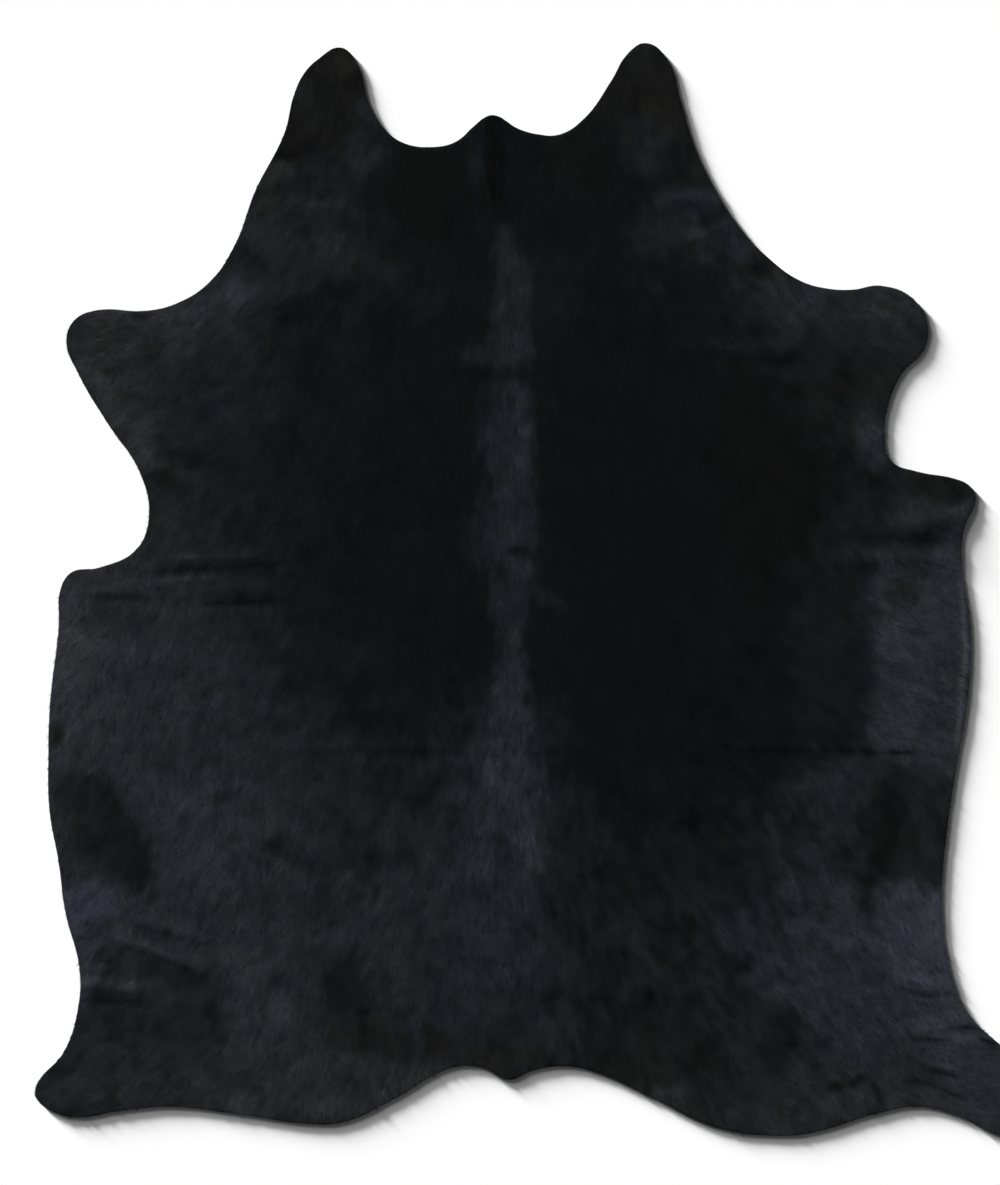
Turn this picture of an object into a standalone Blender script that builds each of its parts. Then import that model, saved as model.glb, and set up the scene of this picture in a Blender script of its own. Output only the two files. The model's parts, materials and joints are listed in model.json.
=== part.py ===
"""Cowhide rug: one tanned hide with its hair on, lying flat on the floor, hair side up.

Metres, +Z up. +Y points to the head and +X to the hide's right side as seen from above.
The origin is on the floor, under the middle of the hide's bounding box.
The hide is one closed sheet. Its underside lies on the floor, and lifts off it only under the
creases that storage and handling have left in the skin.
"""

import math
from collections import namedtuple

import bmesh
import bpy
import numpy as np
from mathutils import Vector
from mathutils.geometry import delaunay_2d_cdt

MM = 0.001

# Sheet: a tanned skin of about 2 mm with some 2 mm of short hair lying on it
THICKNESS = 4.0 * MM

# Spacing of the mesh points along the cut edge and over the flat parts of the skin
EDGE_STEP = 18.0 * MM
FIELD_STEP = 60.0 * MM
# Least distances between points of the flat skin, of the creases and of the cut edge
FIELD_TO_EDGE = 11.0 * MM
FIELD_TO_CREASE = 25.0 * MM
CREASE_TO_EDGE = 5.5 * MM
CREASE_TO_CREASE = 8.0 * MM

# Points across a crease, in half widths from its middle, and the spacing along it
ACROSS = (-1.0, -0.5, 0.0, 0.5, 1.0)
ALONG_STEP = 32.0 * MM
# A crease fades out over this share of its length at each end
FADE = 0.28

# Edge of the hide, clockwise from the head, in mm: x to the right of the spine line and
# y ahead of the tail root. A smooth curve runs through the points.
Stretch = namedtuple("Stretch", "name points")
EDGE_MM = (
    Stretch("head nub", ((-34, 1929), (22, 1901), (58, 1891), (102, 1890))),
    Stretch("right ear", ((150, 1920), (208, 2000), (238, 2050), (276, 2073), (320, 2038), (345, 1960))),
    Stretch("right neck", ((372, 1870), (413, 1782), (468, 1698), (520, 1644), (584, 1598))),
    Stretch("right foreleg", ((640, 1582), (690, 1580), (744, 1588), (812, 1560), (840, 1500))),
    Stretch("right elbow", ((828, 1454), (792, 1418), (764, 1362), (753, 1290), (766, 1238))),
    Stretch("right belly corner", ((820, 1216), (896, 1201), (924, 1187), (935, 1166), (912, 1102))),
    Stretch("right flank", ((907, 1034), (925, 900), (920, 766), (896, 622), (876, 484), (867, 350))),
    Stretch("right hind leg", ((883, 224), (917, 136), (984, 70), (1060, 4), (1100, -68))),
    Stretch("right hock", ((1062, -126), (984, -112), (898, -72), (820, -54), (736, -68))),
    Stretch("right rump", ((612, -105), (546, -112), (418, -96), (290, -37), (172, 16), (112, 27))),
    Stretch("tail root", ((48, 18), (2, 0), (-46, 22), (-80, 28), (-124, 20))),
    Stretch("left rump", ((-232, -41), (-334, -86), (-398, -88), (-532, -70), (-672, -54))),
    Stretch("left hind leg", ((-774, -62), (-866, -75), (-912, -62), (-946, -30), (-940, -6))),
    Stretch("left hock", ((-888, 56), (-859, 148), (-857, 222), (-886, 340))),
    Stretch("left flank", ((-898, 432), (-917, 540), (-919, 650), (-916, 748), (-898, 910))),
    Stretch("left belly corner", ((-895, 980), (-874, 1014), (-818, 1024), (-742, 1062), (-718, 1128))),
    Stretch("left elbow", ((-736, 1214), (-800, 1312), (-858, 1410), (-883, 1478))),
    Stretch("left foreleg", ((-866, 1520), (-826, 1538), (-722, 1538), (-664, 1552))),
    Stretch("left neck", ((-596, 1596), (-545, 1672), (-506, 1776), (-446, 1896))),
    Stretch("left ear", ((-429, 1966), (-408, 2012), (-378, 2042), (-334, 2064), (-304, 2036))),
    Stretch("left brow", ((-274, 1944), (-242, 1896), (-208, 1873), (-156, 1865), (-106, 1875), (-62, 1912))),
)

# Creases, in mm on the same lines: where each starts and ends, half its width, and how
# high the skin lifts. One that runs off the hide starts outside the cut edge.
Crease = namedtuple("Crease", "name x0 y0 x1 y1 half_width height")
CREASES_MM = (
    Crease("left belly, upper roll", -752, 1034, -424, 1046, 22, 5.0),
    Crease("left belly, lower roll", -716, 984, -420, 974, 26, 5.0),
    Crease("left belly, corner roll", -884, 982, -690, 984, 24, 3.5),
    Crease("left hock, upper slant", -776, 328, -584, 276, 20, 4.0),
    Crease("left hock, long slant", -826, 296, -570, 206, 20, 5.0),
    Crease("left hock, hook roll", -900, 258, -776, 244, 20, 4.0),
    Crease("left hock, cross roll", -930, 182, -690, 172, 26, 6.0),
    Crease("left loin, packing fold", -470, 664, -100, 662, 18, 2.0),
    Crease("right flank, packing fold", 400, 668, 840, 664, 18, 2.5),
    Crease("right belly, corner roll", 724, 1094, 1010, 1134, 32, 7.0),
    Crease("right belly, lower roll", 620, 1040, 980, 1046, 26, 4.0),
    Crease("right shoulder, cross roll", 370, 1460, 620, 1458, 26, 2.5),
    Crease("right neck, upper roll", 276, 1746, 480, 1772, 28, 5.5),
    Crease("right neck, lower roll", 340, 1668, 500, 1732, 24, 3.5),
    Crease("left ear, edge roll", -520, 1850, -380, 1884, 24, 4.5),
    Crease("left neck, edge roll", -540, 1790, -410, 1810, 24, 4.0),
    Crease("left neck, cross roll", -450, 1742, -320, 1738, 24, 3.0),
    Crease("withers, cross roll", -110, 1428, 20, 1424, 22, 3.0),
    Crease("right hock, upper slant", 764, 204, 900, 174, 24, 4.5),
    Crease("right hock, cross roll", 866, 118, 1010, 114, 22, 5.0),
    Crease("right hock, inner roll", 786, 96, 900, 92, 20, 3.0),
    Crease("right hock, lower slant", 790, 46, 930, 14, 24, 4.5),
)

# Finish: near-black dyed hair with a low, soft sheen
HAIR_COLOUR = (0.0098, 0.0100, 0.0116)
HAIR_ROUGHNESS = 0.55


def edge_guide(collection):
    """The cut edge as a closed Bezier curve through the table's points."""
    points = [point for stretch in EDGE_MM for point in stretch.points]
    curve = bpy.data.curves.new("hide_edge_guide", "CURVE")
    curve.dimensions = "2D"
    curve.resolution_u = 12
    spline = curve.splines.new("BEZIER")
    spline.bezier_points.add(len(points) - 1)
    spline.use_cyclic_u = True
    for knot, (x, y) in zip(spline.bezier_points, points):
        knot.co = (x * MM, y * MM, 0.0)
        knot.handle_left_type = "AUTO"
        knot.handle_right_type = "AUTO"
    guide = bpy.data.objects.new("hide_edge_guide", curve)
    guide.hide_render = True
    guide.display_type = "WIRE"
    collection.objects.link(guide)
    return guide


def edge_loop(guide):
    """Points at even steps along the guide, as an array of x and y."""
    bpy.context.view_layer.update()
    graph = bpy.context.evaluated_depsgraph_get()
    mesh = bpy.data.meshes.new_from_object(guide.evaluated_get(graph))
    fine = np.array([vertex.co[:2] for vertex in mesh.vertices])
    bpy.data.meshes.remove(mesh)
    closed = np.vstack([fine, fine[:1]])
    lengths = np.linalg.norm(np.diff(closed, axis=0), axis=1)
    along = np.concatenate([[0.0], np.cumsum(lengths)])
    count = round(along[-1] / EDGE_STEP)
    at = np.linspace(0.0, along[-1], count, endpoint=False)
    return np.stack([np.interp(at, along, closed[:, k]) for k in (0, 1)], axis=1)


def crease_frame(crease):
    """A crease's start, its unit direction, the unit direction across it, and its length."""
    start = np.array([crease.x0, crease.y0]) * MM
    end = np.array([crease.x1, crease.y1]) * MM
    length = float(np.linalg.norm(end - start))
    along = (end - start) / length
    return start, along, np.array([-along[1], along[0]]), length


def lift(points):
    """How high the skin lifts off the floor at each point: a soft roll for each crease."""
    height = np.zeros(len(points))
    for crease in CREASES_MM:
        start, along, across, length = crease_frame(crease)
        way = points - start
        share = np.clip(way @ along / length, 0.0, 1.0)
        side = np.clip(np.abs(way @ across) / (crease.half_width * MM), 0.0, 1.0)
        ends = np.clip(np.minimum(share, 1.0 - share) / FADE, 0.0, 1.0)
        roll = np.cos(side * math.pi / 2) ** 2 * np.sin(ends * math.pi / 2) ** 2
        height = np.maximum(height, crease.height * MM * roll)
    return height


def inside(points, loop):
    """Which points lie inside a closed loop, by counting the edges that a ray crosses."""
    ahead = np.roll(loop, -1, axis=0)
    found = np.zeros(len(points), bool)
    for (x0, y0), (x1, y1) in zip(loop, ahead):
        if y0 == y1:
            continue
        crosses = (points[:, 1] > min(y0, y1)) & (points[:, 1] <= max(y0, y1))
        at = x0 + (points[:, 1] - y0) / (y1 - y0) * (x1 - x0)
        found ^= crosses & (points[:, 0] < at)
    return found


def clear_of(points, others, distance):
    """The points that are further than a distance from all the others."""
    gaps = np.linalg.norm(points[:, None, :] - others[None, :, :], axis=2)
    return points[gaps.min(axis=1) > distance]


def crease_points(loop):
    """Rows of points along each crease, closer together than those of the flat skin."""
    kept = np.empty((0, 2))
    for crease in CREASES_MM:
        start, along, across, length = crease_frame(crease)
        steps = max(2, round(length / ALONG_STEP))
        rows = [
            start + along * length * i / steps + across * side * crease.half_width * MM
            for i in range(steps + 1)
            for side in ACROSS
        ]
        rows = np.array(rows)
        rows = clear_of(rows[inside(rows, loop)], loop, CREASE_TO_EDGE)
        if len(kept):
            rows = clear_of(rows, kept, CREASE_TO_CREASE)
        kept = np.vstack([kept, rows])
    return kept


def field_points(loop, creases):
    """A triangular grid over the flat skin, clear of the edge and of the creases."""
    low, high = loop.min(axis=0), loop.max(axis=0)
    row_step = FIELD_STEP * math.sqrt(3) / 2
    grid = [
        (low[0] + FIELD_STEP * (i + 0.5 * (j % 2)), low[1] + row_step * j)
        for j in range(int((high[1] - low[1]) / row_step) + 1)
        for i in range(int((high[0] - low[0]) / FIELD_STEP) + 1)
    ]
    grid = np.array(grid)
    grid = clear_of(grid[inside(grid, loop)], loop, FIELD_TO_EDGE)
    return clear_of(grid, creases, FIELD_TO_CREASE)


def underside_mesh(loop):
    """The skin's underside as one open surface, facing up, with its creases lifted."""
    creases = crease_points(loop)
    field = field_points(loop, creases)
    points = [Vector(p) for p in np.vstack([loop, creases, field])]
    edges = [(i, (i + 1) % len(loop)) for i in range(len(loop))]
    inner_triangles_only = 1
    found, _, faces, *_ = delaunay_2d_cdt(points, edges, [], inner_triangles_only, 1e-6)
    flat = np.array([tuple(p) for p in found])
    middle = (loop.min(axis=0) + loop.max(axis=0)) / 2
    placed = [(x, y, z) for (x, y), z in zip(flat - middle, lift(flat))]
    mesh = bpy.data.meshes.new("hide")
    mesh.from_pydata(placed, [], faces)
    bm = bmesh.new()
    bm.from_mesh(mesh)
    for face in bm.faces:
        if face.normal.z < 0:
            face.normal_flip()
    bm.to_mesh(mesh)
    bm.free()
    return mesh


def hair_material():
    """Near-black hair, with a soft sheen."""
    material = bpy.data.materials.new("dyed_hair")
    material.use_nodes = True
    shader = material.node_tree.nodes["Principled BSDF"]
    shader.inputs["Base Color"].default_value = (*HAIR_COLOUR, 1.0)
    shader.inputs["Roughness"].default_value = HAIR_ROUGHNESS
    shader.inputs["Metallic"].default_value = 0.0
    return material


def make_hide(collection, guide):
    """The hide: the underside's surface thickened upwards, so that it stays on the floor."""
    mesh = underside_mesh(edge_loop(guide))
    mesh.materials.append(hair_material())
    mesh.shade_smooth()
    hide = bpy.data.objects.new("hide", mesh)
    collection.objects.link(hide)
    sheet = hide.modifiers.new("sheet", "SOLIDIFY")
    sheet.thickness = THICKNESS
    sheet.offset = 1.0
    sheet.use_rim = True
    return hide


def main():
    for thing in list(bpy.data.objects):
        bpy.data.objects.remove(thing)
    rug = bpy.data.collections.new("cowhide_rug")
    guides = bpy.data.collections.new("cowhide_rug_guides")
    for collection in (rug, guides):
        bpy.context.scene.collection.children.link(collection)
    make_hide(rug, edge_guide(guides))


main()
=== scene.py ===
"""Cowhide rug: the looks of one hair-on hide that lies flat with its hair side up.

Metres, +Z up. +Y points to the head and +X to the hide's right side as seen from above.
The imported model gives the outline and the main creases. This script lays a fine skin on
them, combs short hair over it, and sets the floor, the lights and the camera.
"""

import json
import math
from collections import namedtuple

import bmesh
import bpy
import numpy as np
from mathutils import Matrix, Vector, kdtree, noise
from mathutils.bvhtree import BVHTree
from mathutils.geometry import delaunay_2d_cdt

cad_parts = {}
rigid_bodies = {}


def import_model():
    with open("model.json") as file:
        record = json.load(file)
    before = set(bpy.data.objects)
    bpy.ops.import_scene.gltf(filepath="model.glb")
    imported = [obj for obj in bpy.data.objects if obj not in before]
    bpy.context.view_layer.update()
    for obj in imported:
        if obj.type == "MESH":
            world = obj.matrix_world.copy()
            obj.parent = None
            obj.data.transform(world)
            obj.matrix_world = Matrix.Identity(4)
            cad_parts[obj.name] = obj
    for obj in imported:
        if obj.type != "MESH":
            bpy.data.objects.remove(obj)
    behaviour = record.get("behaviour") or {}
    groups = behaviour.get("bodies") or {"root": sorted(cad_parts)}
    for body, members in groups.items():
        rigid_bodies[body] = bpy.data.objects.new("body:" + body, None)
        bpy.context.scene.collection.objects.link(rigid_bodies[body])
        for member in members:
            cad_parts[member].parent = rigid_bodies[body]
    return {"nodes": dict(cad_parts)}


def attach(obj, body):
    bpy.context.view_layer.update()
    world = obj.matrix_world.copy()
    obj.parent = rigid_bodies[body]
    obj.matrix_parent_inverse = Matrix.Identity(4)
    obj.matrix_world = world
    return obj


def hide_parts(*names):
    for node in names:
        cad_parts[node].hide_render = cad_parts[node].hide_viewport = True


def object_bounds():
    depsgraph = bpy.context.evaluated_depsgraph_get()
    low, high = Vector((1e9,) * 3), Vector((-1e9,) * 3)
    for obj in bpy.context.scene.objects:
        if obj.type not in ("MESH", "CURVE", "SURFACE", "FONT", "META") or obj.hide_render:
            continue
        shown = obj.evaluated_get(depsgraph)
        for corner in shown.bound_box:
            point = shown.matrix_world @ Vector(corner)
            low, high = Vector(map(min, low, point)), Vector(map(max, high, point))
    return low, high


bl_info = {
    "name": "Cowhide rug",
    "version": (1, 0, 0),
    "blender": (4, 5, 0),
    "location": "View3D > Sidebar > Cowhide",
    "description": "Skin, combed hair, floor, lights and camera of a cowhide rug",
    "category": "Object",
}

MM = 0.001

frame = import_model()
CAD_LOW, CAD_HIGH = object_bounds()

# The tables below are in mm, x to the right of the spine line and y ahead of the tail root.
# The left hind toe reaches furthest left of that line, and the right hock furthest behind
# the root, so the model's own box says where both lie.
LEFT_HIND_TOE_MM = 946.0
RIGHT_HOCK_MM = 129.0
SPINE_X = CAD_LOW.x + LEFT_HIND_TOE_MM * MM
TAIL_Y = CAD_LOW.y + RIGHT_HOCK_MM * MM

# How light the hair's colour is painted where it lies: 0 is the darkest back, the hair's own near
# black.
# Above it the patches are painted sheen, where the combed nap catches the light, and patches named for
# light, shade, rolls, hollows or rims paint their highlight and shade. Cast 1 is olive grey, as on the
# legs,
# 0 the usual blue grey, and -1 a clear blue, the tint of the brightest painted sheen.
# A patch is an ellipse with a blurred rim, turned by some degrees and painted over the ones before it.
Patch = namedtuple("Patch", "name x y half_x half_y turn shade cast")
BROAD_PATCHES = (
    Patch("left barrel", -650, 1210, 240, 330, 0, 0.30, 0.1),
    Patch("left belly", -810, 1100, 200, 150, 0, 0.66, 0.5),
    Patch("left belly, edge", -890, 970, 120, 120, 0, 1.40, 0.3),
    Patch("left flank", -830, 650, 400, 340, 0, 1.16, 0.0),
    Patch("left flank, outer part", -930, 840, 150, 220, 0, 1.6, 0.1),
    Patch("left loin", -430, 520, 330, 170, 0, 0.62, 0.0),
    Patch("left rump", -300, 330, 330, 220, 0, 0.78, 0.0),
    Patch("left thigh", -600, 350, 270, 260, 0, 1.12, 0.0),
    Patch("left hind leg", -760, 40, 330, 120, 0, 0.76, 0.2),
    Patch("left buttock", -400, 0, 320, 110, 0, 1.0, 0.5),
    Patch("tail head", -20, 160, 190, 150, 0, 0.66, -0.2),
    Patch("right rump", 330, 250, 260, 170, -10, 0.34, 0.0),
    Patch("right thigh", 730, 200, 260, 230, 0, 1.2, -0.2),
    Patch("right hind foot", 960, 0, 170, 130, 0, 1.35, -0.1),
    Patch("right flank", 870, 840, 130, 330, 0, 1.5, 0.0),
    Patch("right buttock", 330, 10, 230, 110, 0, 0.28, 0.6),
    Patch("right buttock, rear", 640, -60, 220, 80, 0, 1.0, 0.4),
    Patch("left foreleg", -760, 1440, 180, 160, 0, 1.0, 0.4),
    Patch("left shoulder", -540, 1540, 170, 130, 20, 0.94, 0.0),
    Patch("left neck", -400, 1720, 180, 160, 0, 0.54, 0.1),
    Patch("left ear", -360, 1970, 130, 130, 0, 0.06, 0.9),
    Patch("right shoulder", 570, 1540, 200, 90, -20, 0.86, 0.0),
    Patch("right neck", 392, 1680, 124, 130, 0, 0.72, 0.0),
    Patch("right ear", 290, 1970, 120, 130, 0, 0.26, 1.0),
    Patch("right foreleg", 780, 1510, 130, 120, 0, 1.0, 0.5),
    Patch("right elbow", 690, 1370, 150, 130, 0, 0.34, 0.4),
    Patch("right belly", 660, 1130, 150, 110, 0, 0.36, 0.0),
    Patch("right barrel, olive shade", 500, 1200, 150, 240, 0, 0.02, 0.7),
)
SMALL_PATCHES = (
    Patch("left neck, olive hollow", -168, 1776, 104, 120, 0, 0.0, 0.65),
    Patch("left neck, dark inlet", -270, 1700, 60, 26, 0, 0.16, 0.4),
    Patch("left neck, light rear", -350, 1664, 60, 36, 10, 0.82, 0.0),
    Patch("left neck, light edge", -504, 1680, 40, 60, 20, 0.86, 0.1),
    Patch("left neck, blue shade", -390, 1800, 60, 50, 0, 0.40, -0.2),
    Patch("left neck, pale edge", -470, 1812, 30, 22, 30, 0.92, 0.7),
    Patch("left neck, pale edge below", -486, 1762, 26, 20, 0, 0.70, 0.6),
    Patch("left ear, dark hollow", -376, 1934, 46, 46, 0, 0.20, 0.7),
    Patch("left ear, dark side", -312, 1970, 24, 40, 0, 0.14, 0.8),
    Patch("left ear, pale rim", -408, 1990, 16, 44, 25, 0.62, 0.5),
    Patch("left ear, grey tip", -336, 2038, 40, 32, 0, 0.44, 0.9),
    Patch("left ear, dark fold", -444, 1848, 34, 12, 12, -0.08, 0.7),
    Patch("left ear, fold end", -398, 1864, 30, 10, 20, 0.10, 0.4),
    Patch("left cheek, light", -262, 1936, 44, 40, -20, 0.6, 0.2),
    Patch("left cheek, lower", -296, 1860, 50, 40, 0, 0.46, 0.0),
    Patch("left neck, tuft", -268, 1618, 36, 24, -20, 0.36, -0.3),
    Patch("left neck, dark foot", -346, 1576, 46, 28, 0, 0.08, 0.1),
    Patch("left shoulder, light front", -444, 1592, 44, 26, 20, 0.74, 0.0),
    Patch("left withers, faint tuft", -156, 1570, 44, 36, 0, 0.3, -0.3),
    Patch("right neck, olive hollow", 146, 1850, 96, 84, 0, 0.06, 0.6),
    Patch("right ear, dark side", 246, 1990, 34, 60, -25, 0.22, 0.8),
    Patch("right ear, grey tip", 268, 2044, 34, 26, 0, 0.5, 0.8),
    Patch("right cheek, light", 268, 1870, 34, 54, 0, 0.50, 0.0),
    Patch("right cheek, dark hollow", 346, 1812, 50, 26, 0, 0.08, 0.5),
    Patch("right cheek, rim", 388, 1836, 28, 42, 25, 0.5, 0.7),
    Patch("right neck, light roll", 362, 1768, 66, 28, 8, 0.5, -0.3),
    Patch("right neck, bright end", 408, 1772, 24, 18, 8, 0.95, -0.3),
    Patch("right neck, dark spot", 408, 1725, 20, 13, 20, 0.12, 0.5),
    Patch("right neck, dark trail", 366, 1712, 26, 10, 0, 0.28, 0.0),
    Patch("right neck, lower", 450, 1650, 60, 50, -20, 0.84, -0.1),
    Patch("right neck, olive rim", 520, 1672, 26, 44, 25, 0.42, 0.6),
    Patch("right neck, edge spot", 502, 1632, 18, 18, 0, 0.02, 0.5),
    Patch("right shoulder, dark wedge", 380, 1560, 110, 90, -25, 0.12, 0.3),
    Patch("right shoulder, edge light", 634, 1556, 90, 34, -10, 1.0, 0.0),
    Patch("right shoulder, edge tuft", 538, 1612, 18, 14, -30, 0.90, 0.2),
    Patch("right shoulder, bright tuft", 748, 1566, 32, 20, 0, 1.45, 0.0),
    Patch("right foreleg, light top", 790, 1560, 90, 40, 0, 1.25, 0.3),
    Patch("right foreleg, rear", 840, 1440, 50, 50, 0, 0.76, 0.3),
    Patch("right shoulder, lower light", 560, 1450, 70, 46, 0, 0.42, 0.0),
    Patch("right shoulder, light roll", 460, 1466, 90, 10, 0, 0.26, 0.0),
    Patch("right shoulder, under roll", 460, 1436, 120, 16, 0, 0.10, 0.6),
    Patch("right elbow, dark", 706, 1384, 52, 40, 0, 0.26, 0.8),
    Patch("right elbow, bright strip", 724, 1276, 28, 60, 10, 1.05, 0.0),
    Patch("right belly corner, olive", 860, 1184, 80, 32, -10, 0.26, 0.8),
    Patch("right belly corner, tip", 896, 1160, 24, 16, -25, 0.26, 0.6),
    Patch("right belly, light roll", 850, 1122, 84, 26, 10, 0.6, 0.25),
    Patch("right belly, bright end", 902, 1138, 30, 12, 25, 1.4, 0.2),
    Patch("right belly, under roll", 740, 1083, 120, 8, 0, 0.26, 0.3),
    Patch("right belly, dark wedge", 830, 1062, 34, 14, 12, 0.2, 0.4),
    Patch("right belly, inner spot", 646, 1068, 24, 9, -10, 0.12, 0.4),
    Patch("right belly, light under the fold", 800, 1040, 70, 30, 0, 1.05, -0.1),
    Patch("right flank, bright band", 778, 800, 46, 180, 0, 1.3, 0.0),
    Patch("right flank, bright top", 776, 905, 44, 34, 0, 1.75, -0.1),
    Patch("right flank, bright mid", 784, 800, 34, 50, 0, 1.75, -0.1),
    Patch("right flank, bright foot", 784, 700, 36, 50, 0, 1.55, -0.1),
    Patch("right flank, shade by the rim", 862, 790, 28, 190, 0, 1.4, -0.1),
    Patch("right flank, olive blot", 774, 982, 34, 20, 0, 0.86, 0.4),
    Patch("right flank, inner shade", 644, 850, 76, 154, 0, 0.24, 0.0),
    Patch("right flank, under fold", 664, 590, 74, 60, 0, 0.92, -0.2),
    Patch("right flank, dark patch", 812, 510, 110, 118, 0, 0.48, 0.45),
    Patch("right thigh, mottled shade", 600, 480, 120, 100, 0, 0.6, -0.1),
    Patch("right flank, dark streak", 752, 484, 30, 130, -11, 0.06, 0.5),
    Patch("right flank, blue patch", 800, 370, 44, 36, 0, 2.0, -0.6),
    Patch("right thigh, bright side", 742, 226, 50, 50, 0, 1.5, -0.2),
    Patch("right thigh, bright", 848, 262, 96, 96, 0, 2.4, -0.3),
    Patch("right thigh, bright rim", 878, 330, 22, 60, 0, 3.0, -0.3),
    Patch("right hock, bright", 890, 130, 80, 60, 0, 1.9, -0.1),
    Patch("right rump, light", 590, 330, 100, 100, -20, 1.06, -0.1),
    Patch("right rump, dark streaks", 250, 400, 90, 70, -40, 0.22, 0.0),
    Patch("right rump, dark slant", 500, 150, 90, 26, -35, 0.26, 0.2),
    Patch("right rump, dark run", 400, 430, 120, 44, -35, 0.18, 0.0),
    Patch("right buttock, dark spot", 538, 70, 36, 64, -28, 0.24, 0.4),
    Patch("right buttock, dark dot", 652, -8, 17, 15, 0, 0.2, 0.8),
    Patch("right buttock, light", 470, 20, 40, 90, 0, 0.56, 0.3),
    Patch("right buttock, rim light", 290, -42, 90, 28, 0, 1.1, 0.5),
    Patch("right hock, olive spot", 704, -4, 14, 14, 0, 0.06, 1.0),
    Patch("left shoulder, dark blot", -400, 1490, 96, 80, 0, 0.14, 0.1),
    Patch("left shoulder, darkest", -390, 1536, 60, 24, 0, 0.04, 0.2),
    Patch("left shoulder, dark foot", -436, 1400, 60, 44, 0, 0.02, 0.0),
    Patch("left shoulder, bright edge", -556, 1560, 60, 30, 25, 1.30, 0.0),
    Patch("left foreleg, bright tuft", -692, 1524, 26, 14, 0, 2.0, 0.2),
    Patch("left foreleg, light top", -740, 1550, 130, 50, 0, 1.6, 0.3),
    Patch("left shoulder, inner shade", -590, 1380, 120, 90, 0, 0.46, -0.1),
    Patch("left elbow, light", -730, 1270, 44, 60, 0, 1.25, 0.3),
    Patch("left foreleg, dark spot", -732, 1520, 22, 12, 0, 0.36, 0.6),
    Patch("left foreleg, bright toe", -822, 1502, 46, 26, 0, 1.15, 0.5),
    Patch("left foreleg, edge light", -784, 1340, 22, 120, 32, 1.7, 0.4),
    Patch("left elbow, dark spot", -632, 1240, 46, 16, -10, 0.16, 0.3),
    Patch("left elbow, edge spot", -696, 1200, 34, 20, 0, 0.22, 0.7),
    Patch("left flank, bright edge", -878, 860, 30, 140, 0, 2.2, 0.1),
    Patch("left belly, grey corner", -866, 1024, 64, 44, 0, 1.1, 0.5),
    Patch("left belly, light foot", -710, 955, 110, 50, 0, 1.1, 0.1),
    Patch("left flank, bright field", -620, 490, 110, 110, 0, 1.38, -0.2),
    Patch("left flank, dark patch", -806, 505, 66, 118, 35, 0.33, 0.3),
    Patch("left flank, patch head", -882, 584, 34, 24, 0, 0.5, 0.3),
    Patch("left flank, patch rim", -744, 430, 36, 50, -20, 0.20, 0.2),
    Patch("left flank, edge spot", -904, 690, 16, 24, 0, 0.40, 0.9),
    Patch("left flank, blue patch", -830, 362, 64, 38, 0, 2.3, -0.55),
    Patch("left flank, bright rim", -868, 336, 20, 36, 15, 2.6, -0.5),
    Patch("left hock, bright rim", -846, 220, 24, 70, 0, 1.8, -0.2),
    Patch("left thigh, bright", -480, 410, 50, 44, 0, 1.0, 0.0),
    Patch("left thigh, shade", -446, 342, 150, 48, 0, 0.78, 0.0),
    Patch("left rump, dark field", -312, 468, 108, 66, 0, 0.44, 0.0),
    Patch("left thigh, dark slant", -436, 454, 20, 58, 52, 0.42, 0.1),
    Patch("left thigh, small dark", -564, 572, 26, 18, 0, 0.4, 0.2),
    Patch("left thigh, dark spot below", -552, 496, 16, 20, 0, 0.6, 0.2),
    Patch("left thigh, bright strip", -500, 160, 92, 140, 5, 1.22, 0.0),
    Patch("left thigh, dark strip", -620, 150, 60, 90, 0, 0.46, 0.1),
    Patch("left hock, light slant", -606, 236, 60, 20, -20, 1.3, 0.0),
    Patch("left hock, under slant", -690, 212, 90, 14, -20, 0.46, 0.1),
    Patch("left rump, light by the blot", -216, 186, 70, 60, 30, 0.84, 0.0),
    Patch("left rump, dark blot", -326, 178, 50, 58, 20, 0.2, 0.2),
    Patch("left buttock, olive", -260, 74, 74, 34, 0, 0.42, 0.7),
    Patch("left buttock, second olive", -150, 80, 26, 34, 0, 0.4, 0.7),
    Patch("left buttock, light rim", -400, -52, 200, 32, 0, 1.3, 0.5),
    Patch("left buttock, bright rim", -176, -4, 60, 24, 0, 1.4, 0.7),
    Patch("left loin, dark blot", -200, 580, 90, 52, 0, 0.36, 0.1),
    Patch("left loin, dark top", -330, 850, 120, 60, 20, 0.16, 0.0),
    Patch("left loin, dark mid", -220, 745, 100, 50, 12, 0.12, 0.0),
    Patch("left flank, upper shade", -520, 960, 80, 60, 0, 0.36, 0.1),
    Patch("left back, darkest", -66, 880, 36, 66, 0, 0.0, -0.2),
    Patch("left back, dark run", -120, 1180, 50, 170, 0, 0.02, -0.2),
    Patch("right back, dark field", 240, 1080, 170, 520, 0, 0.0, 0.1),
    Patch("right withers, faint light", 106, 1580, 50, 90, 0, 0.16, -0.1),
    Patch("right loin, mottled rim", 124, 470, 70, 130, 12, 0.36, -0.1),
)
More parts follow.
